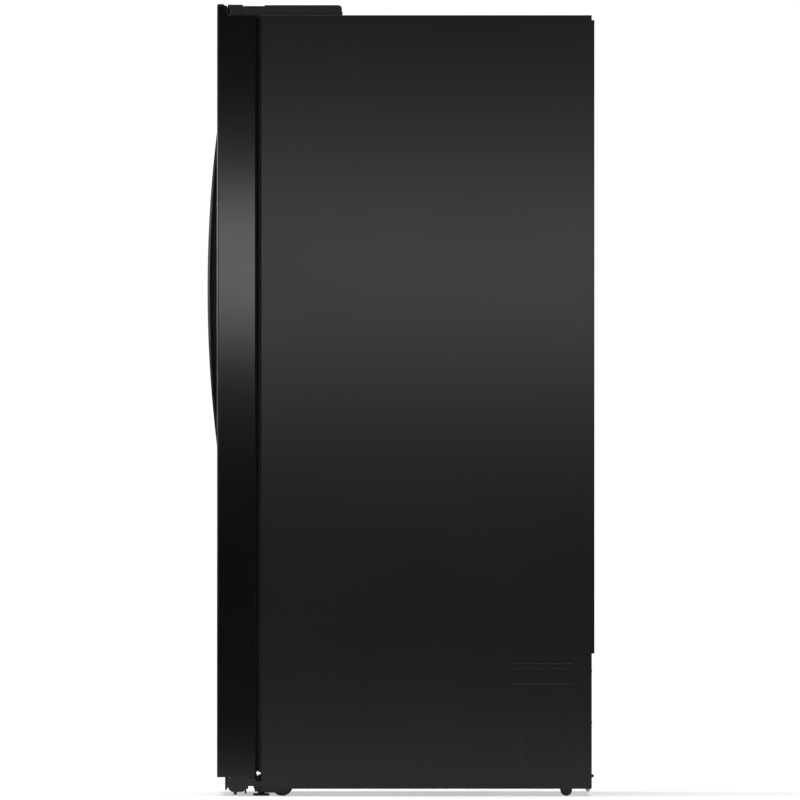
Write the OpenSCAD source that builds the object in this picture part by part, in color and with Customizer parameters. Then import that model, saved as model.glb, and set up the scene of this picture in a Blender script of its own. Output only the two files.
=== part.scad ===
// Refrigerator with two full-height doors that part at a centre gap: freezer left, fresh food right.
// X runs to the right as seen from the front, Y to the back and Z up, in millimetres.
// The origin is the centre of the footprint, on the floor.

/* [Cabinet] */
// Width over the side panels
case_w = 908; // [760:2:1100]
// Depth of the side panels
case_d = 741; // [617:1:890]
// Height of the top panel above the floor
case_top = 1750; // [1458:1:2100]
// Height of the side panels' lower edge above the floor
case_bottom = 16; // [14:1:20]
// Thickness of the painted steel sheet
sheet = 1; // [0.8:0.1:1.2]
// Height that the back panel stands proud of the side panels
back_proud = 6; // [4:1:10]
// Foam and panel thickness on the fresh-food side
fridge_wall = 42; // [35:1:55]
// Foam and panel thickness on the freezer side
freezer_wall = 55; // [45:1:70]
// Wall between the two compartments
mullion_w = 52; // [43:1:64]
// Roof thickness over the compartments
roof_t = 48; // [40:1:60]
// Thickness of the back wall
back_wall = 65; // [54:1:80]
// Height of the compartment floor
floor_z = 110; // [100:1:130]
// Thickness of the moulded inner liners
liner_t = 2; // [1.5:0.5:3]

/* [Machine bay] */
// Height of the bay's roof above the floor
bay_top = 300; // [260:1:340]
// Depth of the bay
bay_d = 195; // [175:1:230]
// Wall between the bay and the compartments
bay_wall = 45; // [38:1:54]
// Radius of the compressor shell
compressor_r = 80; // [60:1:84]

/* [Doors] */
// Thickness of a door from face to back
door_t = 85; // [71:1:102]
// Gap between the doors' back and the cabinet, closed by the seals
seal_gap = 14; // [12:1:18]
// Width of the freezer door
freezer_door_w = 386; // [340:1:440]
// Gap between the two doors
centre_gap = 6; // [5:1:10]
// Height of the doors' lower edge above the floor
door_z0 = 42; // [42:1:60]
// Height that the front lip stands over the cabinet
lip_h = 25; // [24:1:32]
// Front-to-back thickness of the lip
lip_t = 17; // [12:1:18]
// Radius of the doors' front edges
edge_r = 5; // [3:1:8]
// Width of the moulded ring on the back of a door
dike_w = 20; // [14:1:26]
// Distance that the ring reaches behind the door
dike_d = 48; // [40:1:55]
// Largest opening angle
door_open = 115; // [90:1:115]

/* [Handles] */
// Distance that the bow stands in front of the door
handle_reach = 24; // [20:1:30]
// Length of the bow along the door
handle_len = 750; // [625:1:900]
// Distance from the cabinet's top down to the bow's upper tip
handle_drop = 237; // [150:1:300]
// Width of the bow
handle_w = 34; // [28:1:40]
// Thickness of the bow's gloss strip
bow_t = 5; // [4:0.5:6]
// Depth of the finger pocket behind the bow
pocket_d = 20; // [16:1:24]

/* [Dispenser] */
// Width of the dispenser
disp_w = 190; // [160:1:200]
// Height of the dispenser
disp_h = 350; // [300:1:420]
// Distance from the cabinet's top down to the dispenser
disp_drop = 415; // [380:1:500]
// Depth of the dispenser's housing in the door
disp_d = 65; // [60:1:67]
// Radius of a push button
button_r = 8; // [6:1:9]

/* [Inside] */
// Number of glass shelves in the fresh-food side
fridge_shelf_count = 3; // [2:1:4]
// Number of wire shelves below the ice bucket
freezer_shelf_count = 3; // [2:1:4]
// Thickness of a shelf's rim
shelf_t = 14; // [10:1:20]
// Distance that the drawers and shelves stand back from the cabinet's front
shelf_back = 147; // [140:1:200]
// Depth of the door shelves beside the shelves
bin_d = 105; // [90:1:112]
// Depth of the door shelves beside the drawers
low_bin_d = 72; // [60:1:76]
// Height of a door shelf
bin_h = 110; // [90:1:130]
// Wall of the drawers and door shelves
tub_t = 2.5; // [2:0.5:3.5]

/* [Feet and rollers] */
// Radius of the front rollers
roller_r = 24; // [20:1:26]
// Radius of the rear rollers
rear_roller_r = 13; // [11:0.5:15]
// Radius of the levelling feet
foot_r = 19; // [15:1:20]
// Distance from the centre line to the rollers
roller_x = 404; // [340:1:404]

/* [Hidden] */
$fn = 96;

// Clearances
run = 0.06;      // radial, for a pin that turns in a bore
seat = 0.3;      // between a loose piece and what carries it
joint = 0.2;     // between neighbouring foam blocks
door_rise = 2.5; // between a door's top and the hinge plate

// Places along Y
total_d = handle_reach + door_t + seal_gap + case_d + back_proud;
bow_y = -total_d / 2;
door_y0 = bow_y + handle_reach;
door_y1 = door_y0 + door_t;
case_y0 = door_y1 + seal_gap;
case_y1 = case_y0 + case_d;
rear_y = case_y1 + back_proud;
inner_y0 = case_y0 + sheet;
back_y = case_y1 - back_wall;
bay_y = case_y1 - bay_d;
step_y = bay_y - bay_wall + 1;
cover_t = 2;
shelf_y0 = case_y0 + shelf_back;
liner_face = door_y1 - sheet;

// Places along X
half_w = case_w / 2;
in_x = half_w - sheet;
split_x = -half_w + freezer_door_w + centre_gap / 2;
fz_x = [-half_w + freezer_wall, split_x - mullion_w / 2];
fr_x = [split_x + mullion_w / 2, half_w - fridge_wall];
freezer_door = [-half_w, split_x - centre_gap / 2];
fridge_door = [split_x + centre_gap / 2, half_w];

// Places along Z
deck_t = 1.5;
deck_z = 52;
ceil_z = case_top - roof_t;
step_z = bay_top + bay_wall;
lip_z = case_top + lip_h;
crown_h = 4;
door_z1 = case_top - door_rise;
cap_h = 20;
core_z = [door_z0 + cap_h, door_z1 - cap_h + 0.5];

// Hinges
pin_r = 6;
pin_in = 14;
pin_x = half_w - pin_in;
pin_y = door_y0 + 41;
hinge_t = 4;
top_knuckle_r = 11;
shoe_r = 14;
rail_z = 22;
low_hinge_t = 5;

// Handles: the bow is an arc through its two tips and its foremost point
bow_z0 = case_top - handle_drop - handle_len;
bow_z1 = bow_z0 + handle_len;
bow_r = (handle_len * handle_len / 4 + handle_reach * handle_reach) / (2 * handle_reach);
bow_mid = (bow_z0 + bow_z1) / 2;
bow_steps = 48;
bow_in = 10;
web_t = 4;
pocket_in = 2;
pocket_w = 56;
pocket_wall = 2;
pocket_end = 80;
pocket_z = [bow_z0 + pocket_end, bow_z1 - pocket_end];

// Dispenser
disp_x0 = (freezer_door[0] + freezer_door[1] - disp_w) / 2;
disp_x = [disp_x0, disp_x0 + disp_w];
disp_z1 = case_top - disp_drop;
disp_z = [disp_z1 - disp_h, disp_z1];
disp_back = door_y0 + disp_d;
disp_wall = 3;
bezel = 8;
bezel_t = 2;
panel_h = 92;
panel_t = 2.5;
panel_x = [disp_x[0] + 4, disp_x[1] - 4];
panel_z = [disp_z1 - panel_h - 3, disp_z1 - 3];
well_x = [disp_x[0] + 6, disp_x[1] - 6];
well_z = [disp_z[0] + 12, panel_z[0] - 4];
disp_cx = (disp_x[0] + disp_x[1]) / 2;
button_pitch = 45;
button_z = panel_z[0] + 34;
button_proud = 1.5;
button_deep = 4;
button_travel = 1.5;
paddle_w = 60;
paddle_h = 104;
paddle_t = 4;
paddle_pin_r = 3;
paddle_axis = [disp_cx, door_y0 + 41, well_z[1] - 12];
ear_t = 4;

// Shelves, drawers and door shelves
rail_w = 8;
rail_h = 10;
low_drawer_z = [floor_z + seat, step_z - 12];
up_drawer_z = [step_z + 14, step_z + 204];
drawer_lip = 6;
drawer_y0 = shelf_y0;
drawer_travel = 80;
crisper_cover_z = up_drawer_z[1] + 18;
control_h = 50;
control_z = ceil_z - control_h;
bucket_z = [ceil_z - 450, ceil_z - 250];
pitch_fridge = (control_z - crisper_cover_z) / (fridge_shelf_count + 1);
pitch_freezer = (bucket_z[0] - shelf_t - step_z) / (freezer_shelf_count + 1);
fridge_levels = [for (i = [0:fridge_shelf_count]) crisper_cover_z + i * pitch_fridge];
freezer_levels = [for (i = [0:freezer_shelf_count]) step_z + rail_h + i * (pitch_freezer - rail_h / 4)];
fridge_dike = [fr_x[0] + 16, fr_x[1] - 14];
freezer_dike = [fz_x[0] + 14, fz_x[1] - 16];
dike_z = [floor_z + 14, ceil_z - 14];
bin_pitch = 240;
chute_z = [disp_z1 - 105, disp_z1 + 65];
dairy_h = 105;
dairy_z = [dike_z[1] - dike_w - dairy_h - 10, dike_z[1] - dike_w - 10];
lid_t = 3;
lid_pin_r = 2.5;
lid_axis = [0, liner_face + bin_d - 6, dairy_z[1] - 12];
function stack(z0, z1) = [for (i = [0:max(0, floor((z1 - z0 - bin_h) / bin_pitch))]) z0 + i * bin_pitch];
low_bins = stack(dike_z[0] + dike_w + 8, crisper_cover_z);
fridge_bins = stack(crisper_cover_z + 30, dairy_z[0] - 20);
freezer_low_bins = stack(dike_z[0] + dike_w + 8, chute_z[0] - 60);
freezer_high_bins = stack(chute_z[1] + 30, dike_z[1] - dike_w);

// Running gear
roller_y = case_y0 + 47;
foot_y = case_y0;
rear_roller_y = case_y1 - 57;
roller_w = 20;
rear_roller_w = 16;
axle_r = 4;
rear_axle_r = 2.8;
plate_t = 2;
bracket_half = roller_w / 2 + 1 + plate_t;
rear_half = rear_roller_w / 2 + 1 + plate_t;
foot_stem_r = 5;

// Machine bay
fan_x = -150;
fan_r = 68;
fan_y = (bay_y + case_y1) / 2;
fan_z = 150;
compressor_x = -half_w + compressor_r + 75;
coil_r = 5;
coil_pitch = 24;
coil_layers = 3;
coil_tubes = 6;
bay_floor = case_bottom + deck_t;

// Colours
case_black = [0.10, 0.10, 0.105];
door_black = [0.07, 0.07, 0.075];
trim_black = [0.03, 0.03, 0.03];
liner_white = [0.90, 0.91, 0.91];
foam_cream = [0.93, 0.86, 0.66];
zinc = [0.62, 0.63, 0.64];
seal_black = [0.05, 0.05, 0.05];
clear_blue = [0.78, 0.86, 0.90, 0.45];

module block(x, y, z) {
    translate([x[0], y[0], z[0]])
        cube([x[1] - x[0], y[1] - y[0], z[1] - z[0]]);
}

// A flat outline drawn in Y and Z, given a width along X
module along_x(x) {
    translate([x[0], 0, 0])
        rotate([90, 0, 90])
            linear_extrude(x[1] - x[0])
                children();
}

module both_sides() {
    children();
    mirror([1, 0, 0])
        children();
}

module rod_x(x, y, z, r) {
    translate([x[0], y, z])
        rotate([0, 90, 0])
            cylinder(r = r, h = x[1] - x[0]);
}

module rod_y(x, y, z, r) {
    translate([x, y[0], z])
        rotate([-90, 0, 0])
            cylinder(r = r, h = y[1] - y[0]);
}

module rod_z(x, y, z, r) {
    translate([x, y, z[0]])
        cylinder(r = r, h = z[1] - z[0]);
}

module hex_head(r, h) {
    cylinder(r = r, h = h, $fn = 6);
}

// ---- Cabinet ----

// Faint press marks low on the side panels, over the bay's stiffeners
mark_y = [case_y1 - 178, case_y1 - 43];
mark_deep = 0.35;
mark_w = 1.4;
module side_marks() {
    x = [half_w - mark_deep, half_w + 1];
    for (z = [251, 285, 296])
        block(x, mark_y, [z, z + mark_w]);
    difference() {
        block(x, [case_y1 - 160, case_y1 - 52], [78, 186]);
        block([x[0] - 1, x[1] + 1], [case_y1 - 160 + mark_w, case_y1 - 52 - mark_w],
            [78 + mark_w, 186 - mark_w]);
    }
}

module outer_wrapper() {
    color(case_black)
        difference() {
            block([-half_w, half_w], [case_y0, case_y1], [case_bottom, case_top]);
            block([-in_x, in_x], [inner_y0, case_y1 + 1], [case_bottom - 1, case_top - sheet]);
            block([fz_x[0], fr_x[1]], [case_y0 - 1, inner_y0 + 1], [floor_z, ceil_z]);
            block([-in_x, in_x], [case_y0 - 1, inner_y0 + 1], [case_bottom - 1, deck_z - deck_t]);
            both_sides()
                side_marks();
        }
}

pan_x = [-in_x + 13, in_x - 13];
pan_z = [bay_top + 19, case_top - 11];
module back_panel() {
    color(case_black)
        difference() {
            union() {
                block([-in_x, in_x], [case_y1 - sheet, case_y1], [bay_top, case_top - sheet]);
                block(pan_x, [case_y1 - sheet, rear_y], pan_z);
            }
            block([pan_x[0] + sheet, pan_x[1] - sheet], [case_y1 - sheet - 1, rear_y - sheet],
                [pan_z[0] + sheet, pan_z[1] - sheet]);
        }
}

module base_pan() {
    x = [-in_x, in_x];
    bay_x = [fz_x[0] - liner_t + joint, fr_x[1] + liner_t - joint];
    y1 = case_y1 - sheet - cover_t;
    pan_y = bay_y - 34;
    color(zinc)
        difference() {
            union() {
                block(x, [inner_y0, bay_y], [deck_z - deck_t, deck_z]);
                block(bay_x, [bay_y, bay_y + deck_t], [case_bottom, bay_top]);
                block(bay_x, [bay_y, y1], [bay_top - deck_t, bay_top]);
                block(x, [pan_y, y1], [case_bottom, bay_floor]);
                block(x, [pan_y, pan_y + deck_t], [case_bottom, deck_z]);
                block(x, [inner_y0, inner_y0 + deck_t], [case_bottom + 7, deck_z]);
                both_sides() {
                    block([in_x - deck_t, in_x], [inner_y0, pan_y], [rail_z - deck_t, deck_z]);
                    block([in_x - 28, in_x], [inner_y0, pan_y], [rail_z - deck_t, rail_z]);
                    block([in_x - deck_t, in_x], [pan_y, y1], [case_bottom, deck_z]);
                    rod_x([in_x - 70, in_x - 1], case_y1 - 9, case_bottom - 1, 5);
                }
            }
            both_sides() {
                block([roller_x - rear_half + plate_t, roller_x + rear_half - plate_t],
                    [rear_roller_y - rear_roller_r - 2, rear_roller_y + rear_roller_r + 2],
                    [case_bottom - 1, bay_floor + 1]);
                block([roller_x - bracket_half - 1, in_x - 29],
                    [inner_y0 - 1, inner_y0 + deck_t + 1], [case_bottom, deck_z - deck_t]);
                block([in_x - 31, in_x - deck_t],
                    [inner_y0 - 1, inner_y0 + deck_t + 1], [rail_z, rail_z + low_hinge_t + 1]);
            }
        }
}

// The foam is poured in one go; it is drawn as blocks that part at hairline joints
module cabinet_foam() {
    lx = fz_x[0] - liner_t;
    rx = fr_x[1] + liner_t;
    mid = [lx + joint, rx - joint];
    mull = [fz_x[1] + liner_t, fr_x[0] - liner_t];
    bk = back_y + liner_t;
    sy = step_y + liner_t;
    sz = step_z - liner_t;
    fl = floor_z - liner_t;
    ce = ceil_z + liner_t;
    y1 = case_y1 - sheet;
    z1 = case_top - sheet;
    color(foam_cream) {
        for (x = [[-in_x, lx], [rx, in_x]]) {
            block(x, [inner_y0, y1], [bay_top, z1]);
            block(x, [inner_y0, y1 - cover_t], [deck_z, bay_top - joint]);
        }
        block(mid, [inner_y0, y1], [ce, z1]);
        block(mid, [bk, y1], [bay_top, ce - joint]);
        block(mid, [sy, bk - joint], [bay_top, sz]);
        block(mid, [sy, bay_y], [deck_z, bay_top - joint]);
        block(mid, [inner_y0, sy - joint], [deck_z, fl]);
        block(mull, [inner_y0, bk - joint], [sz + joint, ce - joint]);
        block(mull, [inner_y0, sy - joint], [fl + joint, sz]);
        block([pan_x[0] + sheet, pan_x[1] - sheet], [y1 + joint, rear_y - sheet],
            [pan_z[0] + sheet, pan_z[1] - sheet]);
    }
}

// Side view of a compartment, grown outwards by g and starting at y0
function cavity(g, y0) = [
    [y0, floor_z - g], [step_y + g, floor_z - g], [step_y + g, step_z - g],
    [back_y + g, step_z - g], [back_y + g, ceil_z + g], [y0, ceil_z + g]
];

module liner(x, levels) {
    color(liner_white)
        difference() {
            along_x([x[0] - liner_t, x[1] + liner_t])
                polygon(cavity(liner_t, inner_y0));
            difference() {
                along_x(x)
                    polygon(cavity(0, inner_y0 - 1));
                for (z = levels, wall = [[x[0] - 1, x[0] + rail_w], [x[1] - rail_w, x[1] + 1]])
                    block(wall, [shelf_y0 + 12, back_y - 34], [z - rail_h, z]);
            }
        }
}

module fridge_liner() {
    liner(fr_x, concat(fridge_levels, [up_drawer_z[1] - drawer_lip - seat]));
}

module freezer_liner() {
    liner(fz_x, concat(freezer_levels, [bucket_z[0] - shelf_t]));
}

module mullion_cover() {
    color(case_black)
        block([fz_x[1], fr_x[0]], [case_y0, inner_y0], [floor_z, ceil_z]);
}

grille_y = door_y0 + 18;
grille_t = 3.5;
grille_z = [case_bottom - 2.5, door_z0 - 1];
module toe_grille() {
    slot_w = 26;
    slots = floor((case_w - 160) / (slot_w + 8));
    color(trim_black) {
        difference() {
            block([-half_w + 4, half_w - 4], [grille_y, grille_y + grille_t], grille_z);
            for (i = [0:slots - 1], row = [0, 1])
                translate([(i - (slots - 1) / 2) * (slot_w + 8), grille_y - 1, grille_z[0] + 7 + row * 8])
                    cube([slot_w, grille_t + 2, 3], center = false);
        }
        for (x = [-300, -100, 100, 300])
            block([x * half_w / 454 - 12, x * half_w / 454 + 12], [grille_y + grille_t, inner_y0],
                [case_bottom + 12, case_bottom + 15]);
    }
}

// ---- Hinges, feet and rollers ----

arm_y = case_y0 + 12;
plate_len = 100;
module top_hinge() {
    z = [case_top, case_top + hinge_t];
    rod_z(pin_x, pin_y, z, top_knuckle_r);
    rod_z(pin_x, pin_y, [door_z1 - cap_h + 2.5, case_top + hinge_t], pin_r);
    block([pin_x - top_knuckle_r, pin_x + 8], [pin_y, arm_y], z);
    block([pin_x - 46, pin_x + 8], [arm_y, arm_y + plate_len], z);
}

// A plate on the base rail, an arm under the door, a rounded shoe and a pin that carries the door
module bottom_hinge() {
    z = [rail_z, rail_z + low_hinge_t];
    shoe_x = [pin_x - shoe_r, pin_x + shoe_r - 1];
    shoe_z = 9;
    shoe_y = [pin_y - 17, pin_y + 26];
    along_x(shoe_x)
        union() {
            translate([shoe_y[0], shoe_z + shoe_r])
                square([shoe_y[1] - shoe_y[0], door_z0 - 1 - shoe_z - shoe_r]);
            translate([shoe_y[0] + shoe_r, shoe_z])
                square([shoe_y[1] - shoe_y[0] - 2 * shoe_r, shoe_r]);
            for (y = [shoe_y[0] + shoe_r, shoe_y[1] - shoe_r])
                translate([y, shoe_z + shoe_r])
                    circle(r = shoe_r);
        }
    rod_z(pin_x, pin_y, [door_z0 - 2, door_z0 + cap_h - 2], pin_r);
    rod_z(pin_x, pin_y, [3, shoe_z + 1], 4);
    rod_z(pin_x, shoe_y[1] - 3, [5, rail_z], 2);
    block([shoe_x[0], half_w - 3], [shoe_y[1] - 1, inner_y0 + 1], z);
    block([in_x - 28, half_w - 3], [inner_y0, inner_y0 + 70], z);
    along_x([half_w - 8, half_w - 3])
        polygon([[shoe_y[1] - 1, rail_z], [case_y0 - 1, rail_z], [case_y0 - 1, rail_z + 12],
            [door_y1 + 1, rail_z + 12], [door_y1 + 1, door_z0 - 2], [shoe_y[1] - 1, door_z0 - 2]]);
}

module hinges() {
    color(case_black)
        both_sides() {
            top_hinge();
            bottom_hinge();
        }
}

cover_h = 22.6;
cover_len = 181;
cover_wall = 2;
cover_end = 8;
cover_disc_r = 17;
// The cover's outside (shrink = 0) or the room under it
module cover_shape(shrink) {
    top = case_top + cover_h - shrink;
    low = case_top - (shrink > 0 ? 1 : 0);
    y0 = case_y0 + 8 + shrink;
    y1 = case_y0 + cover_len - shrink;
    intersection() {
        rod_z(pin_x, pin_y, [low, top + 1], cover_disc_r - shrink);
        block([0, half_w - shrink], [door_y0, case_y0], [low, top + 1]);
    }
    block([pin_x - 19 + shrink, pin_x + 11 - shrink], [pin_y + shrink, case_y0 + 16], [low, top - 2]);
    along_x([pin_x - 56 + shrink, pin_x + 11 - shrink])
        union() {
            translate([y0, low])
                square([y1 - cover_end - y0, top - low]);
            translate([y0, low])
                square([y1 - y0, top - cover_end - low]);
            translate([y1 - cover_end, top - cover_end])
                circle(r = cover_end);
        }
}

module hinge_covers() {
    color(trim_black)
        both_sides()
            difference() {
                cover_shape(0);
                cover_shape(cover_wall);
            }
}

module bracket_side(x) {
    along_x(x)
        union() {
            translate([roller_y, roller_r])
                circle(r = roller_r - 4);
            translate([foot_y - 2, roller_r])
                circle(r = roller_r - 8);
            translate([foot_y + 1, roller_r])
                square([roller_y + 19 - foot_y, deck_z - deck_t - roller_r]);
            translate([foot_y - 2, 7])
                square([roller_y - foot_y + 18, roller_r - 6]);
        }
}

module front_bracket() {
    x0 = roller_x - bracket_half;
    x1 = roller_x + bracket_half;
    difference() {
        union() {
            bracket_side([x0, x0 + plate_t]);
            bracket_side([x1 - plate_t, x1]);
            block([x0, x1], [foot_y - 12, foot_y + 12], [26, 30]);
            rod_x([x0 - 1, x1 + 1], roller_y, roller_r, axle_r);
        }
        rod_z(roller_x, foot_y, [20, 36], foot_stem_r + run);
    }
}

module rear_bracket() {
    x0 = roller_x - rear_half;
    x1 = roller_x + rear_half;
    for (x = [[x0, x0 + plate_t], [x1 - plate_t, x1]])
        along_x(x)
            intersection() {
                union() {
                    translate([rear_roller_y, rear_roller_r])
                        circle(r = rear_roller_r - 4);
                    translate([rear_roller_y - rear_roller_r + 4, rear_roller_r])
                        square([2 * rear_roller_r - 8, case_bottom]);
                }
                translate([rear_roller_y - rear_roller_r, 0])
                    square([2 * rear_roller_r, case_bottom]);
            }
    rod_x([x0, x1], rear_roller_y, rear_roller_r, rear_axle_r);
}

module roller_brackets() {
    color(case_black)
        both_sides() {
            front_bracket();
            rear_bracket();
        }
}

// A wheel about a line along X, with a hub, a rounded tread and a bore that turns on the axle
module wheel(y, r, w, axle) {
    translate([roller_x - w / 2, y, r])
        rotate([0, 90, 0])
            difference() {
                cylinder(r = r, h = w);
                translate([0, 0, -1])
                    cylinder(r = axle + run, h = w + 2);
                for (z = [-1, w - 3])
                    translate([0, 0, z])
                        difference() {
                            cylinder(r = r - 4, h = 4);
                            translate([0, 0, -1])
                                cylinder(r = axle + 3, h = 6);
                        }
            }
}

module right_front_roller() {
    color(trim_black)
        wheel(roller_y, roller_r, roller_w, axle_r);
}

module left_front_roller() {
    mirror([1, 0, 0])
        right_front_roller();
}

module rear_rollers() {
    color(trim_black)
        both_sides()
            wheel(rear_roller_y, rear_roller_r, rear_roller_w, rear_axle_r);
}

module right_levelling_foot() {
    color(case_black)
        translate([roller_x, foot_y, 0]) {
            rotate_extrude()
                union() {
                    square([foot_r - 3, 6]);
                    translate([foot_r - 3, 3])
                        circle(r = 3);
                }
            translate([0, 0, 5])
                hex_head(9, 6);
            cylinder(r = foot_stem_r, h = deck_z - deck_t - 4);
        }
}

module left_levelling_foot() {
    mirror([1, 0, 0])
        right_levelling_foot();
}

// ---- Machine bay ----

module compressor() {
    color(trim_black)
        translate([compressor_x, fan_y, bay_floor]) {
            rotate_extrude()
                union() {
                    translate([0, 14])
                        square([compressor_r, 70]);
                    translate([0, 14])
                        square([compressor_r * 0.72, 150]);
                    intersection() {
                        translate([0, 84])
                            circle(r = compressor_r);
                        translate([0, 84])
                            square([compressor_r, compressor_r]);
                    }
                }
            for (sx = [-1, 1], sy = [-1, 1])
                translate([sx * compressor_r * 0.72, sy * compressor_r * 0.72, 0])
                    cylinder(r = 11, h = 24);
            rod_z(24, -38, [90, 195], 4);
            rod_z(-30, -30, [90, 205], 5);
        }
}

coil_x = [fan_x + 95, in_x - 130];
coil_z0 = bay_floor + 20;
// One layer of tube: straight runs along X joined by half-turns
module serpentine(x, y, z0, rows, pitch, r) {
    for (i = [0:rows - 1])
        rod_x(x, y, z0 + i * pitch, r);
    for (i = [0:rows - 2])
        translate([i % 2 == 0 ? x[1] : x[0], y, z0 + (i + 0.5) * pitch])
            rotate([90, 0, 0])
                rotate([0, 0, i % 2 == 0 ? -90 : 90])
                    rotate_extrude(angle = 180)
                        translate([pitch / 2, 0])
                            circle(r = r);
}

pan_under = bay_top - 84;
module condenser_coil() {
    color(trim_black) {
        for (k = [0:coil_layers - 1])
            serpentine(coil_x, bay_y + 44 + k * 42, coil_z0, coil_tubes, coil_pitch, coil_r);
        for (x = [coil_x[0] + 30, coil_x[1] - 30])
            block([x - 1, x + 1], [bay_y + 24, bay_y + 148], [bay_floor, pan_under]);
    }
}

module fan_shroud() {
    color(trim_black) {
        difference() {
            block([fan_x, fan_x + 4], [bay_y + deck_t + 0.5, case_y1 - sheet - cover_t - 0.5],
                [bay_floor, bay_top - deck_t]);
            rod_x([fan_x - 1, fan_x + 5], fan_y, fan_z, fan_r + 6);
        }
        rod_x([fan_x - 44, fan_x - 4], fan_y, fan_z, 22);
        rod_x([fan_x - 6, fan_x + 22], fan_y, fan_z, axle_r);
        for (a = [0, 90, 180, 270])
            translate([fan_x - 8, fan_y, fan_z])
                rotate([a, 0, 0])
                    translate([0, -3, 10])
                        cube([8.5, 6, fan_r]);
    }
}

module condenser_fan() {
    color(trim_black)
        difference() {
            union() {
                rod_x([fan_x + 6, fan_x + 24], fan_y, fan_z, 17);
                for (a = [0:72:288])
                    translate([fan_x + 15, fan_y, fan_z])
                        rotate([a, 0, 0])
                            translate([0, 0, 14])
                                rotate([0, 0, 28])
                                    translate([-1, -18, 0])
                                        cube([2, 36, fan_r - 20]);
            }
            rod_x([fan_x + 5, fan_x + 25], fan_y, fan_z, axle_r + run);
        }
}

module drain_pan() {
    x = [coil_x[0] - 6, coil_x[1] + 6];
    y = [bay_y + deck_t, bay_y + 170];
    z = [pan_under, bay_top - deck_t - 30];
    color(trim_black)
        difference() {
            block(x, y, z);
            block([x[0] + 2, x[1] - 2], [y[0] + 2, y[1] - 2], [z[0] + 2, z[1] + 1]);
        }
}

module machine_cover() {
    y = [case_y1 - sheet - cover_t, case_y1 - sheet];
    slot_w = 60;
    color(trim_black)
        difference() {
            union() {
                block([-in_x + 1, in_x - 1], y, [bay_floor + 2, bay_top - 0.5]);
                rod_y(-in_x + 70, [y[0], y[1] + 5], 88, 13);
            }
            rod_y(-in_x + 70, [y[0] - 1, y[1] + 6], 88, 5);
            for (col = [-2:2], row = [0:8])
                block([col * 90 - slot_w / 2 + 40, col * 90 + slot_w / 2 + 40], [y[0] - 1, y[1] + 1],
                    [90 + row * 16, 90 + row * 16 + 6]);
        }
}

screw_r = 5.5;
module screws() {
    color(case_black) {
        both_sides() {
            for (x = [-36, -4], y = [20, 80])
                translate([pin_x + x, arm_y + y, case_top + hinge_t])
                    hex_head(screw_r, 4);
            for (y = [16, 50])
                translate([in_x - 16, inner_y0 + y, rail_z + low_hinge_t])
                    hex_head(screw_r, 4);
            for (z = [45, 165, bay_top - 20])
                translate([in_x - 14, case_y1 - sheet, z])
                    rotate([-90, 0, 0])
                        hex_head(screw_r - 1, 5.5);
        }
    }
}

// ---- Inside the compartments ----

rim_w = 16;
module shelf_frame(z) {
    difference() {
        block([fr_x[0] + 1, fr_x[1] - 1], [shelf_y0, back_y - 30], [z, z + shelf_t]);
        block([fr_x[0] + 1 + rim_w, fr_x[1] - 1 - rim_w], [shelf_y0 + rim_w, back_y - 30 - rim_w],
            [z - 1, z + shelf_t + 1]);
    }
}

module shelf_frames() {
    color(liner_white)
        for (z = fridge_levels)
            shelf_frame(z);
}

module shelf_glass() {
    color(clear_blue)
        for (z = fridge_levels)
            block([fr_x[0] + 1 + rim_w, fr_x[1] - 1 - rim_w], [shelf_y0 + rim_w, back_y - 30 - rim_w],
                [z + shelf_t - 5, z + shelf_t - 1]);
}

module wire_shelf(z) {
    x = [fz_x[0] + 1, fz_x[1] - 1];
    y = [shelf_y0, back_y - 32];
    bars = 11;
    difference() {
        block(x, y, [z, z + 8]);
        block([x[0] + 10, x[1] - 10], [y[0] + 10, y[1] - 10], [z - 1, z + 9]);
    }
    for (i = [1:bars])
        translate([x[0] + 10 + i * (x[1] - x[0] - 20) / (bars + 1) - 2, y[0] + 9, z + 2])
            cube([4, y[1] - y[0] - 18, 4]);
}

module freezer_shelves() {
    color(liner_white) {
        for (z = freezer_levels)
            wire_shelf(z);
        block([fz_x[0] + 1, fz_x[1] - 1], [shelf_y0, back_y - 32],
            [bucket_z[0] - shelf_t, bucket_z[0] - shelf_t + 10]);
    }
}

module ice_maker() {
    z = [ceil_z - 190, ceil_z - 60];
    color(liner_white) {
        block([fz_x[0], fz_x[0] + 130], [back_y - 300, back_y - 60], z);
        block([fz_x[0] + 16, fz_x[0] + 118], [back_y - 330, back_y - 299], [z[0] + 6, z[1] - 6]);
        rod_y(fz_x[0] + 136, [back_y - 300, back_y - 120], z[0] + 20, 3);
        for (y = [back_y - 296, back_y - 130])
            block([fz_x[0] + 129, fz_x[0] + 137], [y, y + 6], [z[0] + 17, z[0] + 40]);
    }
}

module evaporator_coil() {
    color(zinc) {
        serpentine([fz_x[0] + 40, fz_x[1] - 40], back_y - 15, step_z + 60, 10, 22, 4);
        for (x = [fz_x[0] + 50, fz_x[1] - 50])
            block([x - 1, x + 1], [back_y - 26, back_y], [step_z + 45, step_z + 275]);
    }
}

module evaporator_cover() {
    y = [back_y - 31, back_y - 28];
    color(liner_white)
        difference() {
            block([fz_x[0] + 0.5, fz_x[1] - 0.5], y, [step_z + 6, ceil_z - 20]);
            for (row = [0:5])
                block([fz_x[0] + 60, fz_x[1] - 60], [y[0] - 1, y[1] + 1],
                    [ceil_z - 240 + row * 14, ceil_z - 234 + row * 14]);
        }
}

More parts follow.
